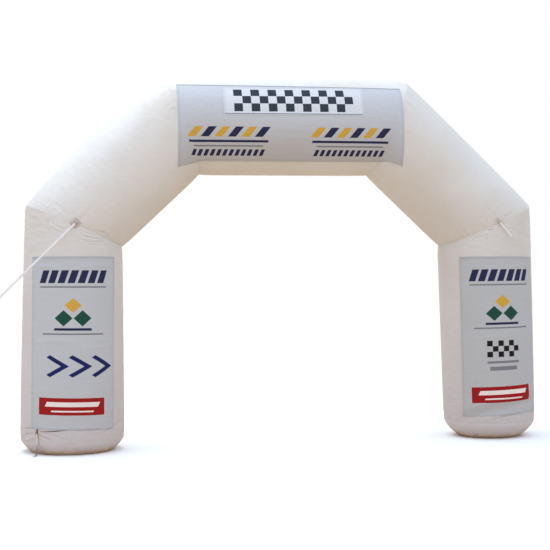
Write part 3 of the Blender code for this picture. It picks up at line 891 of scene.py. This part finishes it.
class Tube:
    """The axis and the two cuts of one length of tube, in the arch's own plane."""

    def __init__(self, section):
        self.section = section
        self.first, self.last = CORNERS[section.start], CORNERS[section.end]
        self.start = middle_of(self.first)
        run = middle_of(self.last) - self.start
        self.length = run.length
        self.axis = run.normalized()
        self.outward = Vector((-self.axis.z, 0, self.axis.x))
        upright = Vector((0, 0, math.copysign(1, self.axis.z)))
        self.cuts = [upright, upright]

    def slope(self, end):
        return self.outward.dot(self.cuts[end]) / self.axis.dot(self.cuts[end])

    def rim_point(self, end, angle, inset):
        """A point near the rim at one end, the inset away from it along the tube."""
        corner = (self.first, self.last)[end]
        radial = self.outward * math.cos(angle) + Vector((0, -math.sin(angle), 0))
        back = -corner.radius * math.cos(angle) * self.slope(end) + (inset, -inset)[end]
        return middle_of(corner) + radial * corner.radius + self.axis * back

    def radius_at(self, z):
        share = (z - self.first.z) / (self.last.z - self.first.z)
        return self.first.radius + (self.last.radius - self.first.radius) * share


def make_tubes():
    tubes = [Tube(section) for section in SECTIONS]
    for first, second in zip(tubes, tubes[1:]):
        first.cuts[1] = second.cuts[0] = (first.axis + second.axis).normalized()
    return tubes


def crease_place(points, crease):
    """Where points lie by a crease: the share of its length, how far to its side, and that length."""
    start, end = np.array((crease.x0, crease.z0)), np.array((crease.x1, crease.z1))
    length = np.linalg.norm(end - start)
    way = (end - start) / length
    offset = points[:, [0, 2]] - start
    share = offset @ way / length
    side = offset @ np.array((-way[1], way[0])) - crease.bow * 4 * share * (1 - share)
    return share, side, length


def crease_share(points, crease):
    """How much of the crease's depth each point takes: a soft trough that dies out at both ends."""
    share, side, _ = crease_place(points, crease)
    taper = np.clip(np.sin(np.pi * np.clip(share, 0, 1)), 0, 1) ** CREASE_TAPER
    return taper * np.exp(-((side / crease.width) ** 2))


def from_cuts(points, tube):
    """How far each point lies from the nearer of the tube's two cuts."""
    ends = zip((tube.first, tube.last), tube.cuts)
    distances = [np.abs((points - np.array(middle_of(corner))) @ np.array(cut)) for corner, cut in ends]
    return np.min(distances, axis=0)


def press_creases(mesh, tube):
    """Presses the creases into the front of the cloth, and notes how much painted shade darkens them."""
    points, normals = points_of(mesh), normals_of(mesh)
    off_seam = 1 - np.exp(-((from_cuts(points, tube) / CREASE_REACH) ** 2))
    facing = np.clip(-normals[:, 1] * FRONT_EDGE, 0, 1) * off_seam
    shares = [(crease, crease_share(points, crease)) for crease in CREASES]
    depth = sum(share * crease.depth for crease, share in shares) * facing
    # painted shade: how far each point in a crease is darkened, kept as an attribute for the material
    soil = np.clip(sum(share**2 * crease.soil for crease, share in shares), 0, 1) * facing
    set_points(mesh, points - normals * depth[:, None])
    layer = mesh.attributes.new("fold_soil", "FLOAT", "POINT")
    layer.data.foreach_set("value", soil.astype(np.float32))


def refine_at_creases(mesh, widest, reach):
    """Halves the cells near the creases that are no wider than this."""
    points = points_of(mesh)
    near = np.zeros(len(points), bool)
    for crease in CREASES:
        if crease.width <= widest:
            share, side, length = crease_place(points, crease)
            room = reach + 2 * crease.width
            near |= (np.abs(side) < room) & (share > -room / length) & (share < 1 + room / length)
    near &= points[:, 1] < FRONT_LIMIT
    if not near.any():
        return
    shape = bmesh.new()
    shape.from_mesh(mesh)
    edges = [edge for edge in shape.edges if near[edge.verts[0].index] and near[edge.verts[1].index]]
    bmesh.ops.subdivide_edges(shape, edges=edges, cuts=1, use_grid_fill=True)
    shape.to_mesh(mesh)
    shape.free()


def wrap_uv(mesh, tube):
    """UVs in metres: round the tube and along it, with the join on the inner side."""
    points = points_of(mesh) - np.array(tube.start)
    out, along = points @ np.array(tube.outward), points @ np.array(tube.axis)
    corners = values_of(mesh.loops, "vertex_index")
    totals = values_of(mesh.polygons, "loop_total")
    face = np.repeat(np.arange(len(totals)), totals)
    turn = np.arctan2(-points[:, 1], out)[corners]
    highest = np.full(len(totals), -np.inf)
    np.maximum.at(highest, face, turn)
    near_join = 2.5
    turn = np.where((highest[face] > near_join) & (turn < -near_join), turn + math.tau, turn)
    uv = np.stack([turn * tube.first.radius, along[corners]], axis=1)
    layer = mesh.uv_layers.new(name="UVMap")
    layer.data.foreach_set("uv", uv.astype(np.float32).ravel())


def add_tube(tree, tube, material):
    section = tube.section
    mesh = use_tree(
        link_object("tube", bpy.data.meshes.new("tube")), tree,
        Sides=TUBE_SIDES, Rings=round(tube.length / HOOP_PITCH), Length=tube.length,
        Start_Radius=tube.first.radius, End_Radius=tube.last.radius,
        Start_Slope=tube.slope(0), End_Slope=tube.slope(1),
        Swell=section.swell, Pucker=section.pucker, Ripple=section.ripple,
        Seed=float(section.seed), Material=material,
    )
    axes = Matrix((tube.outward, Vector((0, -1, 0)), tube.axis)).transposed().to_4x4()
    mesh.transform(Matrix.Translation(tube.start) @ axes)
    while mesh.uv_layers:
        mesh.uv_layers.remove(mesh.uv_layers[0])
    for widest, reach in CREASE_CELLS:
        refine_at_creases(mesh, widest, reach)
    wrap_uv(mesh, tube)
    press_creases(mesh, tube)
    name = f"{section.name}_cloth"
    piece = finish_piece(name, mesh, material, [section.name], CLOTH_EDGE_DEG)
    return piece


def base_profile(base, top, rim):
    """Rows of a radius, a height and how loosely the cloth hangs there, from the seam down and in."""
    rows = []
    for step in range(BASE_STEPS + 1):
        turn = math.radians(90 * step / BASE_STEPS)
        out, down = math.cos(turn) ** (2 / base.fullness), math.sin(turn) ** (2 / base.fullness)
        rows.append((rim - base.inset * (1 - out), top * (1 - down), math.sin(2 * turn)))
    return rows + [((rim - base.inset) * share, 0.0, 0.0) for share in UNDERSIDE_ROWS]


def add_base(base, material):
    """The closing panel under a leg: a turned shape, gathered at its seam and crumpled at the ground."""
    corner = CORNERS[base.corner]
    rim = corner.radius - SEAM_DRAW
    rings = []
    for radius, height, loose in base_profile(base, corner.z - PIECE_GAP, rim):
        ring = []
        for side in range(BASE_SIDES):
            angle = math.tau * side / BASE_SIDES
            wave = sum(math.sin(k * angle + base.seed * k) / k for k in PLEATS)
            pressed = radius * (1 + PLEAT_DEPTH * loose * wave)
            lifted = height * (1 + SAG_DEPTH * loose * math.sin(SAG_COUNT * angle + base.seed))
            ring.append(Vector((corner.x + pressed * math.cos(angle), pressed * math.sin(angle), lifted)))
        rings.append(ring)

    def uv_of(row, side):
        return side / BASE_SIDES * math.tau * rim, rings[row][side % BASE_SIDES].z

    mesh = lofted_mesh(base.name, rings, uv_of)
    piece = finish_piece(f"{base.name}_cloth", mesh, material, [base.name], CLOTH_EDGE_DEG)
    return piece


class Surface:
    """Finished pieces, asked where their cloth is."""

    def __init__(self, pieces):
        points, faces = [], []
        for piece in pieces:
            first = len(points)
            points += [vertex.co.copy() for vertex in piece.data.vertices]
            sides = [face.vertices for face in piece.data.polygons if len(face.vertices) <= WIDEST_FACE]
            faces += [[first + i for i in face] for face in sides]
        self.tree = BVHTree.FromPolygons(points, faces)

    def front(self, x, z, lift):
        """The point over the cloth at (x, z), seen from the front, raised by the lift."""
        for nudge in NUDGES:
            place, normal, _, _ = self.tree.ray_cast(Vector((x + nudge, RAY_START, z)), Vector((0, 1, 0)))
            if place is not None and place.y < 0 and normal.y < 0:
                return Vector((x, place.y, z)) + normal * lift
        raise ValueError(f"no cloth in front of {x:.3f}, {z:.3f}")

    def near(self, point, lift):
        place, normal, _, _ = self.tree.find_nearest(point)
        return place + normal * lift


# ---------------------------------------------------------------- sheets on the tubes
def hemmed_shares(length):
    """Shares from 0 to 1 along an edge, with extra lines where the hem begins and ends."""
    hem = HEM_WIDTH / length
    thin = HEM_EDGE / length
    count = max(2, round((1 - 2 * hem) * length / BANNER_CELL))
    inner = [hem + (1 - 2 * hem) * i / count for i in range(count + 1)]
    first = [0.0, thin, hem * 0.5, hem - thin]
    return first + inner + [1 - share for share in first[::-1]]


def smoothed(values, rounds):
    """The grid's values, each round averaged with their neighbours."""
    for _ in range(rounds):
        padded = np.pad(values, 1, mode="edge")
        beside = padded[:-2, 1:-1], padded[2:, 1:-1], padded[1:-1, :-2], padded[1:-1, 2:]
        values = sum(beside, values * 4) / 8
    return values


def banner_edges(banner, across):
    low = banner.low_left + (banner.low_right - banner.low_left) * across
    low -= banner.droop_left * max(0, 1 - across / LEFT_DROOP) ** DROOP_BEND
    low -= banner.droop_right * max(0, 1 - (1 - across) / RIGHT_DROOP) ** DROOP_BEND
    return low, banner.top_left + (banner.top_right - banner.top_left) * across


def beam_place(banner):
    radius = CORNERS["left shoulder"].radius

    def place(across, up):
        low, top = banner_edges(banner, across)
        x = banner.left + (banner.right - banner.left) * across
        return x, SHOULDER_HEIGHT + radius * math.sin((low + (top - low) * up) / radius)

    return place


def leg_place(banner, tube):
    side = math.copysign(1, tube.start.x)
    radius = (tube.first.radius + tube.last.radius) / 2

    def place(across, up):
        low, top = banner_edges(banner, across)
        arc = banner.left + (banner.right - banner.left) * across
        z = low + (top - low) * up
        return side * leg_axis(z) + radius * math.sin(arc / radius), z

    return place


def sheet_piece(name, spots, across, up, thickness, material, node, raised=0.0):
    """A cloth through a grid of points, thickened outwards. Its UV map runs from 0 to 1 across and up."""
    shape = bmesh.new()
    uv = shape.loops.layers.uv.new("UVMap")
    grid = [[shape.verts.new(spot) for spot in row] for row in spots]
    for i in range(len(up) - 1):
        for j in range(len(across) - 1):
            face = shape.faces.new((grid[i][j], grid[i][j + 1], grid[i + 1][j + 1], grid[i + 1][j]))
            for loop, (a, u) in zip(face.loops, ((j, i), (j + 1, i), (j + 1, i + 1), (j, i + 1))):
                loop[uv].uv = (across[a], up[u])
    mesh = shape_mesh(name, shape)
    set_points(mesh, points_of(mesh) + normals_of(mesh) * np.reshape(raised, (-1, 1)))
    item = link_object(name, mesh)
    solidify = item.modifiers.new("Thickness", "SOLIDIFY")
    solidify.thickness = thickness
    solidify.offset = 1
    return finish_piece(name, baked_mesh(item), material, [node], CLOTH_EDGE_DEG)


def banner_piece(banner, surface, place, size, lift, material):
    """A hemmed cloth stretched over the tubes."""
    width, height = size
    across, up = hemmed_shares(width), hemmed_shares(height)
    spots = [[surface.front(*place(a, u), lift) for a in across] for u in up]
    depths = np.array([[spot.y for spot in row] for row in spots])
    depths = np.minimum(smoothed(depths, BANNER_ROUNDS), depths + BANNER_SINK * lift)
    spots = [[(spot.x, depths[i, j], spot.z) for j, spot in enumerate(row)] for i, row in enumerate(spots)]
    edges = [[min(a * width, (1 - a) * width, u * height, (1 - u) * height) for a in across] for u in up]
    raised = np.where(np.array(edges) < HEM_WIDTH - HEM_EDGE / 2, HEM_STEP, 0.0)
    flat = np.array(spots).reshape(-1, 3)
    slack = sum(crease_share(flat, crease) * crease.depth for crease in BANNER_SLACK)
    raised = raised + slack.reshape(raised.shape)
    name = f"{banner.node}_cloth"
    return sheet_piece(name, spots, across, up, BANNER_THICKNESS, material, banner.node, raised)


# ---------------------------------------------------------------- stitches
def make_stitch_tree():
    """Short threads laid end to end along the lines of a curve object."""
    inputs = [
        ("Lines", GEOMETRY),
        ("Pitch", FLOAT, STITCH_PITCH),
        ("Length", FLOAT, STITCH_LENGTH),
        ("Radius", FLOAT, STITCH_RADIUS),
        ("Seed", INTEGER, 0),
        ("Material", MATERIAL),
    ]
    tree, n, given = new_group("stitches", "GeometryNodeTree", inputs, [("Geometry", GEOMETRY)])
    steps = {"Curve": given["Lines"], "Length": given["Pitch"]}
    spaced = n.add("GeometryNodeCurveToPoints", steps, mode="LENGTH").outputs
    thread = n.add("GeometryNodeMeshUVSphere", {"Segments": 4, "Rings": 3, "Radius": 1.0}).outputs["Mesh"]
    limits = {"Min": (-STITCH_WOBBLE,) * 3, "Max": (STITCH_WOBBLE,) * 3, "Seed": given["Seed"]}
    wobble = n.add("FunctionNodeRandomValue", limits, data_type="FLOAT_VECTOR").outputs[0]
    way = n.vector("ADD", spaced["Tangent"], wobble)
    aimed = n.add("FunctionNodeAlignRotationToVector", {"Vector": way}, axis="Z").outputs[0]
    scale = n.combine(given["Radius"], given["Radius"], n.times(given["Length"], 0.5))
    copies = {"Points": spaced["Points"], "Instance": thread, "Rotation": aimed, "Scale": scale}
    placed = n.add("GeometryNodeInstanceOnPoints", copies).outputs[0]
    end_geometry(n, placed, given["Material"])
    return tree


STITCH_TREE = make_stitch_tree()


def add_stitches(name, lines, seed):
    """Threads along these closed lines."""
    curve = new_curve("stitch lines")
    for line_points in lines:
        add_closed_line(curve, line_points)
    mesh = use_tree(link_object("stitch lines", curve), STITCH_TREE, Seed=seed, Material=MATERIALS["thread"])
    return finish_piece(name, mesh, MATERIALS["thread"])


def seam_lines(tubes, surface):
    """Two rows of stitches on each side of the seams between tubes, and two above each base."""
    lines = []
    for tube in tubes:
        for end in (0, 1):
            for inset in SEAM_ROWS:
                angles = [math.tau * i / SEAM_POINTS for i in range(SEAM_POINTS)]
                lines.append([surface.near(tube.rim_point(end, a, inset), SEAM_THREAD_LIFT) for a in angles])
    return lines


def hem_line(surface, place, size, inset):
    """The rectangle that a banner's hem is sewn along, on the face of the finished banner."""
    low_a, low_u = inset / size[0], inset / size[1]
    corners = [(low_a, low_u), (1 - low_a, low_u), (1 - low_a, 1 - low_u), (low_a, 1 - low_u)]
    points = []
    for (a0, u0), (a1, u1), count in zip(corners, corners[1:] + corners[:1], HEM_POINTS * 2):
        for i in range(count):
            share = i / count
            x, z = place(a0 + (a1 - a0) * share, u0 + (u1 - u0) * share)
            points.append(surface.front(x, z, HEM_THREAD_LIFT))
    return points


def add_banner(banner, place, size, prints, ground, shade_low, on, lift, seed):
    """A banner with its prints and its sewn hem, on this surface of these pieces."""
    material = make_banner_material(banner, ground, size, prints, shade_low)
    piece = banner_piece(banner, on, place, size, lift, material)
    own = Surface([piece])
    lines = [hem_line(own, place, size, inset) for inset in HEM_ROWS]
    stitches = add_stitches(f"{banner.node}_stitches", lines, seed)
    return piece


# ---------------------------------------------------------------- webbing and rings
def anchor_axes(anchor):
    """The middle of an anchor's ring, the way it points along the cloth, and the way out of the cloth."""
    low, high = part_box(f"{anchor.name}_ring")
    middle = (Vector(low) + Vector(high)) / 2
    axis_x = math.copysign(leg_axis(middle.z), middle.x)
    out = Vector((middle.x - axis_x, middle.y, 0)).normalized()
    up = Vector((0, 0, 1))
    aim = math.radians(anchor.aim_deg)
    return middle, up.cross(out) * math.cos(aim) + up * math.sin(aim), out


def turned(aim, out, tilt_deg):
    tilt = math.radians(tilt_deg)
    return aim * math.cos(tilt) + out * math.sin(tilt), out * math.cos(tilt) - aim * math.sin(tilt)


def arc_points(radius, start_deg, stop_deg, steps):
    angles = [math.radians(start_deg + (stop_deg - start_deg) * i / steps) for i in range(steps + 1)]
    return [(radius * math.cos(a), radius * math.sin(a)) for a in angles]


def eased(route, spacing):
    """The route rounded at its bends, with points no further apart than the spacing."""
    points = [np.array(point) for point in route]
    for _ in range(BEND_ROUNDS):
        cut = [points[0]]
        for first, second in zip(points, points[1:]):
            cut += [first * 0.75 + second * 0.25, first * 0.25 + second * 0.75]
        points = cut + [points[-1]]
    filled = [points[0]]
    for first, second in zip(points, points[1:]):
        count = max(1, math.ceil(np.linalg.norm(second - first) / spacing))
        filled += [first + (second - first) * (i + 1) / count for i in range(count)]
    return [tuple(point) for point in filled]


def add_webbing(name, route, frame_axes, width, material, nodes):
    """A woven strip with rounded edges along a route in the plane of the frame's first two axes."""
    origin, x_way, y_way = frame_axes
    side = x_way.cross(y_way)
    half, thick = width / 2, WEBBING_THICKNESS / 2 * WEBBING_FILL
    upper = [(-half, 0.0), (-half * WEBBING_EDGE, thick), (0.0, thick), (half * WEBBING_EDGE, thick)]
    section = upper + [(-across, -lift) for across, lift in upper]
    places = [origin + x_way * x + y_way * y for x, y in route]
    rings, lengths, along = [], [], 0.0
    for i, place in enumerate(places):
        way = (places[min(i + 1, len(places) - 1)] - places[max(i - 1, 0)]).normalized()
        over = side.cross(way)
        if i:
            along += (place - places[i - 1]).length
        lengths.append(along)
        rings.append([place + side * across + over * lift for across, lift in section])
    mesh = lofted_mesh(name, rings, lambda row, spot: (section[spot % len(section)][0], lengths[row]))
    return finish_piece(name, mesh, material, nodes, WEBBING_EDGE_DEG)


def looped(route):
    """The route with the strap's end folded round the origin and laid under its first stretch."""
    fold = [(FOLD_LENGTH, -WEBBING_THICKNESS), (NARROW_END, -WEBBING_THICKNESS)]
    eye = [*fold, *arc_points(EYE_MIDDLE, *STRAP_EYE_DEG, EYE_STEPS), (NARROW_END, 0.0)]
    return eased(eye, FINE_STEP) + eased([(STRAP_STEP, 0.0), *route[1:]], STRAP_STEP)


def add_ring(name, origin, x_way, y_way, material):
    """A ring of wire bent to a rectangle and welded, standing for the node of the same name."""
    curve = new_curve(name)
    curve.bevel_depth = RING_WIRE
    curve.bevel_resolution = WIRE_ROUNDNESS
    half = RING_WIDTH / 2 - RING_CORNER
    corners = [(RING_REACH - RING_CORNER, half, 0), (RING_CORNER, half, 90),
               (RING_CORNER, -half, 180), (RING_REACH - RING_CORNER, -half, 270)]
    side = x_way.cross(y_way)
    outline = []
    for x, z, start in corners:
        bend = arc_points(RING_CORNER, start, start + 90, CORNER_STEPS)
        outline += [origin + x_way * (x + a) + side * (z + b) for a, b in bend]
    add_closed_line(curve, outline)
    return finish_piece(f"{name}_wire", baked_mesh(link_object(name, curve)), material, [name])


def add_patch(anchor, middle, tube, surface, material):
    """A square of cloth in line with the pull, sewn down at its edges and drawn up under its ring."""
    side = math.copysign(1, middle.x)
    turn = math.radians(anchor.aim_deg)
    shares = [i / PATCH_CELLS for i in range(PATCH_CELLS + 1)]
    radius = tube.radius_at(middle.z)
    arc = math.asin((middle.x - side * leg_axis(middle.z)) / (radius + RING_STAND)) * radius
    spots = []
    for up in shares:
        row = []
        for across in shares:
            along, aside = (across - 0.5) * PATCH_SIDE, (up - 0.5) * PATCH_SIDE
            z = middle.z + along * math.sin(turn) + aside * math.cos(turn)
            reach = radius * math.sin((arc + along * math.cos(turn) - aside * math.sin(turn)) / radius)
            low = surface.front(side * leg_axis(z) + reach, z, PATCH_LIFT)
            high = -math.sqrt((radius + PATCH_PULL) ** 2 - reach * reach)
            inner = min(1.0, min(across, 1 - across, up, 1 - up) * PATCH_RISE)
            share = inner * inner * (3 - 2 * inner)
            row.append((low.x, low.y + (min(high, low.y) - low.y) * share, z))
        spots.append(row)
    name, node = f"{anchor.name}_patch_cloth", f"{anchor.name}_patch"
    return sheet_piece(name, spots, shares, shares, PATCH_THICKNESS, material, node)


def add_anchor(anchor, tube, surface):
    """The sewn patch, the tab and the ring. Returns where a strap loops on, and its two directions."""
    middle, aim, out = anchor_axes(anchor)
    patch = add_patch(anchor, middle, tube, surface, MATERIALS[anchor.name])
    bar = middle - aim * RING_REACH / 2
    under, over = -EYE_MIDDLE, -EYE_MIDDLE + TAB_LAYER
    eye = [(-TAB_NECKS[0], under), *arc_points(EYE_MIDDLE, *TAB_EYE_DEG, EYE_STEPS), (-TAB_NECKS[1], over)]
    route = eased([(-TAB_LENGTH, under), *eye, (-TAB_LENGTH, over)], FINE_STEP)
    tab, ring = f"{anchor.name}_tab", f"{anchor.name}_ring"
    cloth = MATERIALS.get(tab, MATERIALS["tab"])
    add_webbing(f"{tab}_webbing", route, (bar, aim, out), TAB_WIDTH, cloth, [tab])
    add_ring(ring, bar, aim, out, MATERIALS.get(ring, MATERIALS["steel"]))
    return bar + aim * RING_REACH, aim, out


def path_of(route, origin, x_way, y_way):
    return [tuple(origin + x_way * x + y_way * y) for x, y in eased([(0.0, 0.0), *route[1:]], PATH_STEP)]


def path_length(path):
    return sum((Vector(b) - Vector(a)).length for a, b in zip(path, path[1:]))


def add_strap(name, route, axes):
    return add_webbing(f"{name}_webbing", looped(route), axes, STRAP_WIDTH, MATERIALS["webbing"], [name])


# ---------------------------------------------------------------- floor and light
FLOOR_PALE = (0.98, 0.98, 0.98, 1)
FLOOR_BOUNCE = (0.66, 0.50, 0.35, 1)
SKY_LOW = (0.76, 0.73, 0.72, 1)
SKY_HIGH = (1.18, 1.34, 1.56, 1)
BACKDROP = (1, 1, 1, 1)
FLOOR_SIZE = 120
FLOOR_DEPTH = 0.0005
LIGHT_AIM = Vector((0, 0, 3))
OVERHEAD = ("overhead", (-3.0, 1.6, 10.5), (9, 4), 380, (0.93, 0.98, 1.0))
FRONT = ("front", (-4.0, -13.0, 4.5), (5, 5), 80, (1.0, 0.98, 0.96))


def add_soft_box(name, place, size, watts, colour):
    """A large area lamp that faces the arch."""
    lamp = link_object(name, bpy.data.lights.new(name, "AREA"))
    lamp.data.shape = "RECTANGLE"
    lamp.data.size, lamp.data.size_y = size
    lamp.data.energy = watts
    lamp.data.color = colour
    lamp.location = place
    lamp.rotation_euler = (LIGHT_AIM - lamp.location).to_track_quat("-Z", "Y").to_euler()


def seen_or_not(n, seen, unseen):
    """One colour where the camera looks straight at it, and the other for the light it gives."""
    return n.mix(n.add("ShaderNodeLightPath").outputs["Is Camera Ray"], unseen, seen)


def add_floor():
    bpy.ops.mesh.primitive_plane_add(size=FLOOR_SIZE, location=(0, 0, -FLOOR_DEPTH))
    floor = bpy.context.object
    floor.name = "floor"
    material, n, shader = new_material("pale floor", roughness=0.9, Specular_IOR_Level=0.0)
    n.feed(shader.inputs["Base Color"], seen_or_not(n, FLOOR_PALE, FLOOR_BOUNCE))
    floor.data.materials.append(material)


def add_sky():
    world = bpy.data.worlds.new("studio")
    bpy.context.scene.world = world
    world.use_nodes = True
    n = Nodes(world.node_tree)
    height = n.separate(n.coordinates("Generated"))[2]
    sky = n.mix(n.between(height, 0.0, 1.0), SKY_LOW, SKY_HIGH)
    n.feed(world.node_tree.nodes["Background"].inputs["Color"], seen_or_not(n, BACKDROP, sky))


# ---------------------------------------------------------------- prints
def slanted_row(x, y, width, height, count, colours, skew=0.35, fill=0.72):
    """Slanted blocks side by side, taking the colours in turn."""
    step = width / count
    middles = [x + (i + 0.5 - count / 2) * step for i in range(count)]
    tones = [colours[i % len(colours)] for i in range(count)]
    return [Print("block", at, y, step * fill, height, skew, tone) for at, tone in zip(middles, tones)]


def line(x, y, width, height=0.018, colour=GREY):
    return [Print("block", x, y, width, height, 0.0, colour)]


def leg_prints(third):
    """A leg banner's four motifs from the top down; the third is given."""
    peaks = [
        Print("diamond", 0.0, 0.44, 0.20, 0.17, 0.0, GOLD),
        Print("diamond", -0.11, 0.29, 0.21, 0.19, 0.0, GREEN),
        Print("diamond", 0.11, 0.29, 0.21, 0.19, 0.0, GREEN),
    ]
    return [
        *slanted_row(0.0, 0.775, 0.82, 0.15, 7, [NAVY]),
        *line(0.0, 0.655, 0.82),
        *peaks,
        *line(0.0, 0.16, 0.44, 0.030, NAVY),
        *line(0.0, 0.105, 0.74),
        *third,
        Print("block", -0.012, -0.74, 0.81, 0.20, 0.0, RED),
        Print("block", 0.0, -0.715, 0.64, 0.055, 0.5, PRINT_WHITE),
        Print("block", 0.0, -0.795, 0.50, 0.018, 0.5, PRINT_WHITE),
    ]


BEAM_PRINTS = [
    motif
    for x in (-0.78, 0.72)
    for motif in (
        *slanted_row(x, -0.118, 0.98, 0.12, 6, [GOLD, NAVY], skew=0.8, fill=0.6),
        *line(x, -0.233, 0.96, 0.030, NAVY),
        *line(x, -0.293, 0.84),
        *slanted_row(x, -0.383, 0.90, 0.09, 12, [NAVY], skew=0.3, fill=0.6),
    )
]
LEFT_THIRD = [Print("chevron", -0.27 + 0.27 * i, -0.27, 0.46, 0.26, 0.42, BLUE) for i in range(3)]
RIGHT_THIRD = [
    Print("chequer", 0.0, -0.16, 0.42, 0.21, 0.07, BLACK),
    *line(0.0, -0.33, 0.42, 0.03),
    *line(0.0, -0.41, 0.36, 0.05),
]
HEADER_PRINTS = [
    Print("chequer", 0.0, 0.0, 1.47, 0.315, 0.105, SLATE),
    *line(0.0, -0.185, 1.70, 0.010),
]

# ---------------------------------------------------------------- the arch
add_camera()
add_floor()
add_sky()
add_soft_box(*OVERHEAD)
add_soft_box(*FRONT)
bpy.context.scene.view_settings.view_transform = "Standard"

tubes = make_tubes()
tube_tree = make_tube_tree()
surface = Surface([add_tube(tube_tree, tube, MATERIALS["tube"]) for tube in tubes])
for base in BASES:
    add_base(base, MATERIALS["base"])
add_stitches("seam_stitches", seam_lines(tubes, surface), seed=1)

beam_cloth = add_banner(
    BEAM_BANNER, beam_place(BEAM_BANNER), BEAM_SIZE, BEAM_PRINTS, BANNER_GREY, shade_low=0.55, on=surface,
    lift=BANNER_LIFT, seed=2,
)
add_banner(
    HEADER_PANEL, beam_place(HEADER_PANEL), HEADER_SIZE, HEADER_PRINTS, HEADER_WHITE, shade_low=0.0,
    on=Surface([beam_cloth]), lift=HEADER_LIFT, seed=3,
)
leg_looks = [(tubes[0], LEFT_THIRD, LEFT_BANNER_GREY, 4), (tubes[-1], RIGHT_THIRD, RIGHT_BANNER_GREY, 5)]
for tube, third, ground, seed in leg_looks:
    leg = tube.section.name
    banner = LEG_BANNERS[leg]
    add_banner(
        banner, leg_place(banner, tube), LEG_SIZE, leg_prints(third), ground, shade_low=0.15, on=surface,
        lift=BANNER_LIFT, seed=seed,
    )

ends = {}
for anchor in ANCHORS:
    ends[anchor.name] = add_anchor(anchor, tubes[0] if "left" in anchor.name else tubes[-1], surface)

start, aim, out = ends["left_knee"]
way, upper = turned(aim, out, GUY_TILT_DEG)
guy_length = GUY_ROUTE[-1][0]
far_fold = [(guy_length - x, y) for x, y in looped([(0.0, 0.0), (STRAP_STEP, 0.0)])][::-1]
near_part = [point for point in looped(GUY_ROUTE) if point[0] < guy_length - GUY_SPLICE]
guy = add_webbing(
    "left_guy_strap_webbing", near_part + far_fold, (start, way, upper), STRAP_WIDTH, MATERIALS["webbing"],
    ["left_guy_strap"],
)
guy_ring = add_ring("left_guy_ring", start + way * guy_length, way, upper, MATERIALS["steel"])
guy_path = path_of(GUY_ROUTE, start, way, upper)
path_length(guy_path)

start, aim, out = ends["right_knee"]
way, upper = turned(aim, out, LOOSE_TILT_DEG)
loose = add_strap("right_knee_strap", LOOSE_ROUTE, (start, way, upper))
loose_path = path_of(LOOSE_ROUTE, start, way, upper)
path_length(loose_path)

start, aim, out = ends["left_foot"]
foot = add_strap("left_foot_strap", FOOT_ROUTE, (start, aim, out))
foot_path = path_of(FOOT_ROUTE, start, aim, out)
path_length(foot_path)
